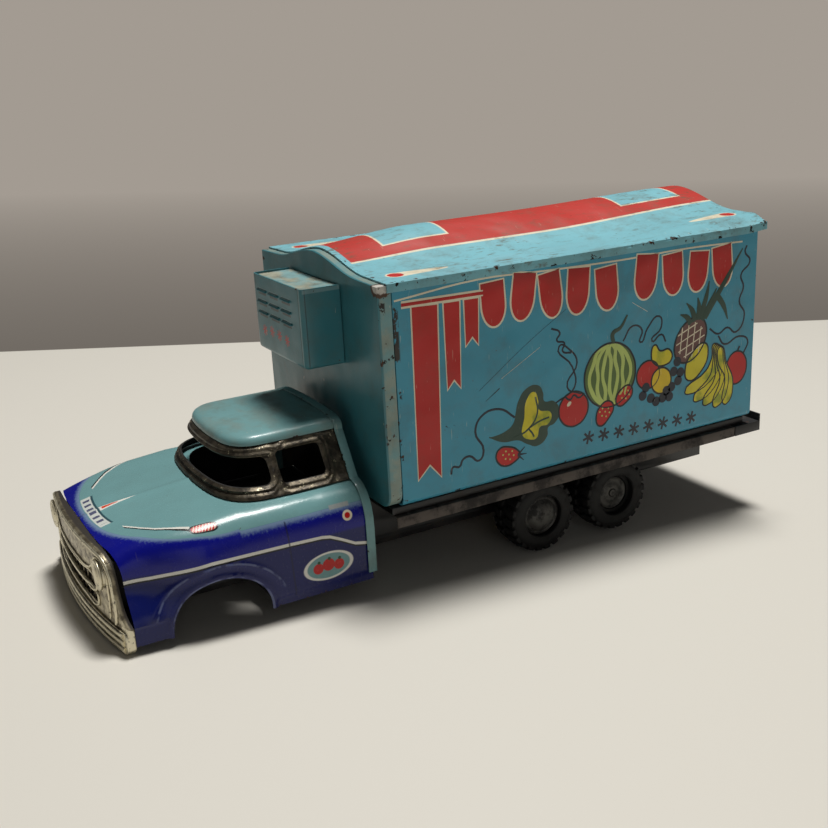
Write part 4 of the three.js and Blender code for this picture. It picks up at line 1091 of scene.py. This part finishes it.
sidePrint = {
    "banners": [[(11.0, 61.2), (19.6, 60.8), (18.4, 7.0), (14.6, 11.8), (10.4, 7.6)],
                [(21.8, 60.8), (27.2, 60.7), (26.6, 34.0), (24.4, 37.0), (22.0, 34.2)],
                [(28.9, 60.7), (33.8, 60.6), (33.4, 46.4), (31.4, 49.2), (29.0, 46.6)]],
    # along, up, width, height, turn
    "flags": [(39.2, 57.9, 9.6, 13.8, 3), (50.0, 58.6, 9.6, 14.6, -8), (60.6, 57.6, 9.2, 14.4, 7),
              (71.0, 57.3, 9.6, 14.6, -4), (82.6, 56.4, 9.8, 14.0, 5), (98.6, 57.9, 10.2, 14.6, -6),
              (110.2, 57.2, 9.6, 13.8, 4), (121.2, 56.6, 9.4, 13.4, -5), (132.2, 56.9, 9.8, 14.0, 6)],
    "frost": [(75 + 6.4 * i, 7.4 - 0.32 * i) for i in range(8)],
    # width, height over the wall, points
    "vines": [
        (0.38, 0.012, [(21.9, 6.7), (22.6, 8.9), (25.0, 8.6), (26.3, 10.6), (28.8, 11.2), (32.3, 9), (34.0, 12),
                       (31.2, 18.6), (33.5, 23.2), (40.3, 24.3), (46, 20.4)]),
        (0.32, 0.012, [(62, 22), (69.5, 26), (68.5, 33), (63.5, 40.5), (67.5, 38.8), (70.5, 34), (66.5, 26.5),
                       (72, 23)]),
        (0.34, 0.014, [(60.5, 46.8), (63.8, 44.8), (62.6, 42.6), (65.6, 41.2), (64.8, 38.8), (68.2, 37.6)]),
        (0.34, 0.012, [(89.3, 37.8), (93.4, 42.3), (97.3, 40.2), (96.6, 36.2), (99.6, 40.5), (104.6, 43.8),
                       (105.4, 39.6), (101.6, 35.8), (105.6, 37.4), (107.6, 34.6)]),
        (0.36, 0.014, [(127.2, 35.8), (131.3, 33.3), (135.4, 34.9), (139.6, 32.6), (143.3, 38.4), (140.6, 43.4),
                       (142.3, 48.4), (140.9, 52.6), (144.9, 57), (142.4, 60.6), (143.2, 62.6)]),
        (0.36, 0.014, [(131.3, 32.6), (134.3, 29.1), (141.1, 30.8), (145.4, 28.6), (143.6, 24.3)])],
    "leaf": [(36.2, 15.9), (36.9, 15.75), (42.6, 16.6), (45.4, 18.6), (46.3, 21.6), (47.2, 25.0), (50.6, 29.0),
             (55.2, 29.2), (57.0, 26.4), (57.4, 23.6), (61.2, 22.8), (63.4, 18.6), (61.2, 15.2), (58.8, 14.4),
             (58.4, 11.6), (54.6, 9.0), (50.6, 10.4), (47.2, 12.4), (41.6, 13.0), (37.2, 15.1)],
    "lobes": [(48.8, 13.8), (49.6, 19.5), (50.6, 25.2), (53.4, 27.4), (55.0, 24.4), (55.2, 21.2), (60.0, 19.0),
              (58.8, 15.6), (55.6, 15.2), (54.2, 11.8), (51.6, 11.8)],
    "veins": [[(45, 13.4), (51, 15.4), (54.6, 20), (54, 25.6)], [(51.5, 15.8), (55.5, 17.2), (59.2, 17.8)],
              [(51.2, 15.4), (52.6, 13.6), (53.2, 12.4)]],
    "seeds": [(-2.0, 0.7), (-0.9, 1.7), (0.2, 0.4), (1.5, 1.3), (-1.1, -0.8), (0.6, -1.3), (2.0, -0.2)],
    # tip and root of each crown leaf
    "crown": [((121.4, 47.6), (121.6, 39.8)), ((116.4, 46.4), (120.4, 39.6)), ((141.2, 61.8), (124.6, 40)),
              ((135.4, 37.9), (129.8, 47.4)), ((129.8, 49.6), (123.4, 39.4)), ((126.4, 52.6), (122.6, 40.4)),
              ((113.8, 42.8), (118.6, 39.0))],
    "plums": [(112.9, 26.6), (110.5, 18.1), (113.4, 19.8), (108.2, 17.2), (106.7, 14.9), (103.8, 14.2), (101.4, 15.8),
              (97.9, 17.3), (111.4, 23.4), (114.4, 22.6), (109.6, 14.8), (99.2, 20.0)],
    "bananas": [(116.6, 14.3), (120.6, 10.8), (125.0, 8.6), (129.8, 7.0), (134.4, 7.2)],
}


def wallMatrix(sideways, lift):
    return Matrix(((0, 0, sideways, sideways * (size["boxSide"] + lift)), (1, 0, 0, 0), (0, 1, 0, 0), (0, 0, 0, 1)))


def turnedBy(u, v, turn):
    c, s = math.cos(math.radians(turn)), math.sin(math.radians(turn))
    return lambda p, q: (u + p * c - q * s, v + p * s + q * c)


def ringPoints(u, v, ru, rv, turn=0, count=10):
    place = turnedBy(u, v, turn)
    return [place(ru * math.cos(a), rv * math.sin(a)) for a in [2 * math.pi * i / count for i in range(count)]]


def printedSide(sideways):
    sheet = bmesh.new()

    def fill(points, colour, lift, kind="AUTO"):
        pour(sheet, inkFill(points, kind), inkSlot[colour], wallMatrix(sideways, lift))

    def line(points, colour, width, lift, closed=False, widths=None, kind="AUTO"):
        made = strand([(u, v, 0) for u, v in points], width, closed, widths, kind, sides=1, resolution=5)
        bmesh.ops.scale(made, vec=(1, 1, 0.03 / width), verts=made.verts)
        pour(sheet, made, inkSlot[colour], wallMatrix(sideways, lift))

    def fruit(points, colour, lift, edge=0.32):
        fill(points, colour, lift)
        line(points, "black", edge, lift + 0.012, True)

    for banner in sidePrint["banners"]:
        line(banner, "cream", 0.7, 0.010, True, kind="VECTOR")
        fill(banner, "red", 0.030, "VECTOR")
    rod = [(7.6, 62.4), (35.6, 61.9)]
    line(rod, "cream", 1.15, 0.034, kind="VECTOR")
    line(rod, "red", 0.62, 0.05, kind="VECTOR")
    line([(5.4, 63.9), (34, 66.2), (60, 65.4), (90, 64.8), (115, 65.0), (141, 64.2)], "cream", 0.28, 0.012)
    scallop = [math.pi * i / 14 for i in range(15)]
    flag = [(-0.5, 0.5), (0.5, 0.5)] + [(0.5 * math.cos(a), -0.02 - 0.48 * math.sin(a)) for a in scallop]
    for u, v, wide, high, turn in sidePrint["flags"]:
        place = turnedBy(u, v, turn)
        points = [place(p * wide * 0.86, q * high) for p, q in flag]
        line(points, "cream", 0.62, 0.012, True, kind="VECTOR")
        fill(points, "red", 0.032, "VECTOR")
    for u, v in sidePrint["frost"]:
        for k in range(3):
            place = turnedBy(u, v, 60 * k + 14)
            line([place(-2.3, 0), (u, v), place(2.3, 0)], "night", 0.42, 0.012 + 0.002 * k)
    for width, lift, points in sidePrint["vines"]:
        line(points, "night", width, lift)
    # old scratches
    line([(35.4, 27.8), (40.6, 31.0)], "black", 0.2, 0.012, widths=(0.3, 1))
    line([(33.0, 31.5), (52.0, 44.0), (66.4, 52.2)], "night", 0.07, 0.012)
    line([(41.4, 34.0), (56.0, 41.5)], "cream", 0.06, 0.014)
    line([(93.0, 50.2), (99.5, 46.2)], "cream", 0.07, 0.014)
    # leaf with a yellow heart
    fill(sidePrint["leaf"], "leaf", 0.016)
    fill(sidePrint["lobes"], "yellow", 0.036)
    for vein in sidePrint["veins"]:
        line(vein, "leaf", 0.32, 0.052)
    # strawberries, tomato
    fruit([(38.6, 9.2), (40.2, 11.2), (43.6, 11.0), (46.6, 9.4), (47.6, 7.6), (45.2, 5.4), (41.8, 4.9), (39.4, 6.4)],
          "red", 0.02)
    for tip in ((49.6, 9.8), (50.2, 7.4), (49.0, 5.4)):
        line([(46.8, 7.6), tip], "night", 0.42, 0.04, widths=(1.0, 0.3))
    for u, v, lift in ((43.2, 8.1, 0.04), (81.7, 14.6, 0.08), (90.0, 19.2, 0.08)):
        for du, dv in sidePrint["seeds"]:
            fill(ringPoints(u + du, v + dv, 0.3, 0.3, 0, 5), "lime", lift)
    fruit(ringPoints(69, 18.5, 5.9, 5.9), "red", 0.02)
    fill(ringPoints(67.2, 20.6, 1.0, 0.6, 40, 6), "cream", 0.05)
    line([(65.5, 23.4), (67.6, 22.0), (69.2, 23.2), (71, 22), (73.4, 23)], "night", 0.34, 0.05)
    # melon with wavy stripes
    melon = ringPoints(84, 27.2, 10.6, 10.9, 0, 12)
    fill(melon, "melon", 0.024)
    for share in (-0.78, -0.52, -0.26, 0.0, 0.26, 0.52, 0.78):
        stripe = [(84 + 10.6 * share * math.cos(t) + 0.5 * math.sin(5 * t + share * 9), 27.2 + 10.6 * math.sin(t))
                  for t in (-1.45, -0.95, -0.5, 0, 0.5, 0.95, 1.45)]
        line(stripe, "lime", 0.62, 0.044, widths=(0.5, 1, 1.2, 1, 1.2, 1, 0.5))
    line(melon, "black", 0.34, 0.056, True)
    line([(85.3, 38), (85.0, 41), (88.2, 42.6), (91, 46.4)], "leaf", 0.75, 0.06, widths=(1, 1.1, 0.8, 0.5))
    fruit([(78.2, 13.6), (80.6, 17.8), (83.6, 18.4), (85.4, 16.2), (83.4, 12.4), (79.6, 10.4)], "red", 0.06)
    fruit([(86.4, 18.2), (88.6, 21.4), (92.2, 22.2), (93.4, 19.6), (91.2, 16.8), (87.6, 15.8)], "red", 0.06)
    fruit(ringPoints(100.1, 24.3, 4.9, 4.9), "red", 0.03)
    fruit([(102.6, 27.8), (101.4, 31.4), (102.8, 34.2), (105.2, 31.8), (109.2, 31.6), (110.4, 28.2), (107.2, 26.4)],
          "yellow", 0.026)
    fruit(ringPoints(105.9, 21.2, 4.3, 4.6, 20), "orange", 0.05)
    # pineapple: a leaning barrel with a lattice and a leaf crown
    pine = ringPoints(118.6, 33.2, 8.4, 6.3, 52, 12)
    fill(pine, "brown", 0.03)
    for k in (-4.2, -1.4, 1.4, 4.2):
        reachable = 6.2 if abs(k) < 3 else 4.6
        for turn in (20, 84):
            place = turnedBy(118.6, 33.2, turn)
            line([place(-reachable, k), place(reachable, k)], "cream", 0.2, 0.046)
    line(pine, "black", 0.36, 0.054, True)
    for tip, root in sidePrint["crown"]:
        bend = ((root[0] + tip[0]) / 2 + 0.6, (root[1] + tip[1]) / 2 + 0.5)
        line([root, bend, tip], "leaf", 0.9, 0.06, widths=(1.3, 1.1, 0.25))
    # plums, pear, apple, bananas
    for u, v in sidePrint["plums"]:
        fill(ringPoints(u, v, 1.7, 1.7, 0, 8), "night", 0.06)
    fruit([(118.0, 18.9), (116.6, 23.8), (119.6, 28.6), (125.3, 31.1), (126.8, 27.2), (124.2, 21.6)], "yellow", 0.05)
    fruit(ringPoints(140.4, 19.5, 4.9, 6.0), "red", 0.03)
    line([(140.6, 25.2), (141.6, 27.2)], "night", 0.4, 0.05)
    for i, (tipU, tipV) in enumerate(sidePrint["bananas"]):
        u, v = 129.6 + 0.7 * i, 30.2 - 0.4 * i
        midU, midV = (u + tipU) / 2 + (3.4 - 0.4 * i) * 0.9, (v + tipV) / 2 - 1.2
        fruit([(u, v), (u - 1.0, v - 5), (midU, midV), (tipU, tipV + 0.6), (tipU + 1.6, tipV - 0.4),
               (midU + 4.0, midV - 2.6), (u + 3.0, v - 6)], "yellow", 0.06 + 0.012 * i, 0.26)
    bmesh.ops.recalc_face_normals(sheet, faces=sheet.faces)
    return sheet


for hand, sideways in hands:
    piece("side_print_" + hand, printedSide(sideways), "root", printInks, (), smooth=60)
print("print made")

view = {"azimuth": 61.63, "elevation": 18.10, "roll": -3.08, "spot": (321.44, -140.23, 132.23), "lens": 48.4348,
        "sensor": 36}
stage = {"size": 5, "floor": tint(216, 212, 203), "near": tint(112, 106, 99), "far": tint(163, 155, 146),
         "tableEdge": (0.3050, 0.3065), "away": (-0.9263, 0.3767, 0), "sky": tint(236, 234, 230), "skyLight": 0.062}


def stageMade():
    bm = bmesh.new()
    bmesh.ops.create_grid(bm, x_segments=2, y_segments=2, size=stage["size"])
    floor = objectFrom(meshFrom(bm, "studio_floor"))
    made = bpy.data.materials.new("pale_floor")
    r = Nodes(made)
    shader = r.tree.nodes["Principled BSDF"]
    r.feed(shader.inputs["Base Color"], stage["floor"])
    r.feed(shader.inputs["Roughness"], 0.5)

    def slope(value, low, high):
        return r.node("ShaderNodeMapRange", {}, {"Value": value, "From Min": low, "From Max": high})

    spot = r.node("ShaderNodeTexCoord", {}, {}, "Object")
    reach = r.node("ShaderNodeVectorMath", {"operation": "DOT_PRODUCT"}, {0: spot, 1: stage["away"]}, "Value")
    around = r.node("ShaderNodeVectorMath", {"operation": "LENGTH"}, {0: spot}, "Value")
    # past the table's far edge, and far out in any direction, the floor turns into the wall
    # the wall glows instead of being lit; it runs from darker near the table's edge to lighter far off, as painted
    # shade
    fade = slope(r.most(reach, around - 0.35), 0.3, 1.3)
    beyond = r.most(slope(reach, *stage["tableEdge"]), slope(around, 0.75, 1.6))
    glow = r.node("ShaderNodeEmission", {}, {"Color": r.blend(fade, stage["near"], stage["far"])})
    mix = r.node("ShaderNodeMixShader", {}, {0: beyond, 1: Flow(r, shader.outputs[0]), 2: glow})
    r.feed(r.tree.nodes["Material Output"].inputs["Surface"], mix)
    floor.data.materials.append(made)


stageMade()

world = bpy.data.worlds.new("studio")
bpy.context.scene.world = world
sky = Nodes(world)
background = sky.tree.nodes["Background"]
sky.feed(background.inputs["Color"], stage["sky"])
sky.feed(background.inputs["Strength"], stage["skyLight"])
wallGlow = sky.node("ShaderNodeBackground", {}, {"Color": stage["far"]})
seen = sky.node("ShaderNodeLightPath", {}, {}, "Is Camera Ray")
chosen = sky.node("ShaderNodeMixShader", {}, {0: seen, 1: Flow(sky, background.outputs[0]), 2: wallGlow})
sky.feed(sky.tree.nodes["World Output"].inputs["Surface"], chosen)


def lamp(name, spot, aim, width, energy, colour):
    data = bpy.data.lights.new(name, "AREA")
    data.shape = "RECTANGLE"
    data.size = width
    data.size_y = width
    data.energy = energy
    data.color = colour
    made = objectFrom(data)
    made.location = spot
    made.rotation_euler = (Vector(aim) - Vector(spot)).to_track_quat("-Z", "Y").to_euler()


# name, place, aim, width in metres, power, colour
lamp("overhead", (-0.12, 0.17, 1.40), (0, 0, 0.04), 0.32, 21.5, (1.0, 0.985, 0.95))
lamp("side_fill", (1.05, -0.25, 0.30), (0, 0, 0.05), 0.7, 0.75, (0.98, 0.99, 1.0))

azimuth, elevation, roll = (math.radians(view[k]) for k in ("azimuth", "elevation", "roll"))
back = Vector((math.sin(azimuth) * math.cos(elevation), -math.cos(azimuth) * math.cos(elevation), math.sin(elevation)))
right = (-back).cross(Vector((0, 0, 1))).normalized()
up = right.cross(-back)
acrossAxis = math.cos(roll) * right + math.sin(roll) * up
upAxis = -math.sin(roll) * right + math.cos(roll) * up
basis = Matrix((acrossAxis, upAxis, back)).transposed().to_4x4()
cameraData = bpy.data.cameras.new("camera")
cameraData.lens = view["lens"]
cameraData.sensor_width = view["sensor"]
cameraData.clip_start = 0.01
camera = objectFrom(cameraData)
camera.matrix_world = Matrix.Translation(level @ Vector(view["spot"])) @ tipped @ basis
bpy.context.scene.camera = camera
bpy.context.scene.view_settings.view_transform = "Standard"

print("stage made")
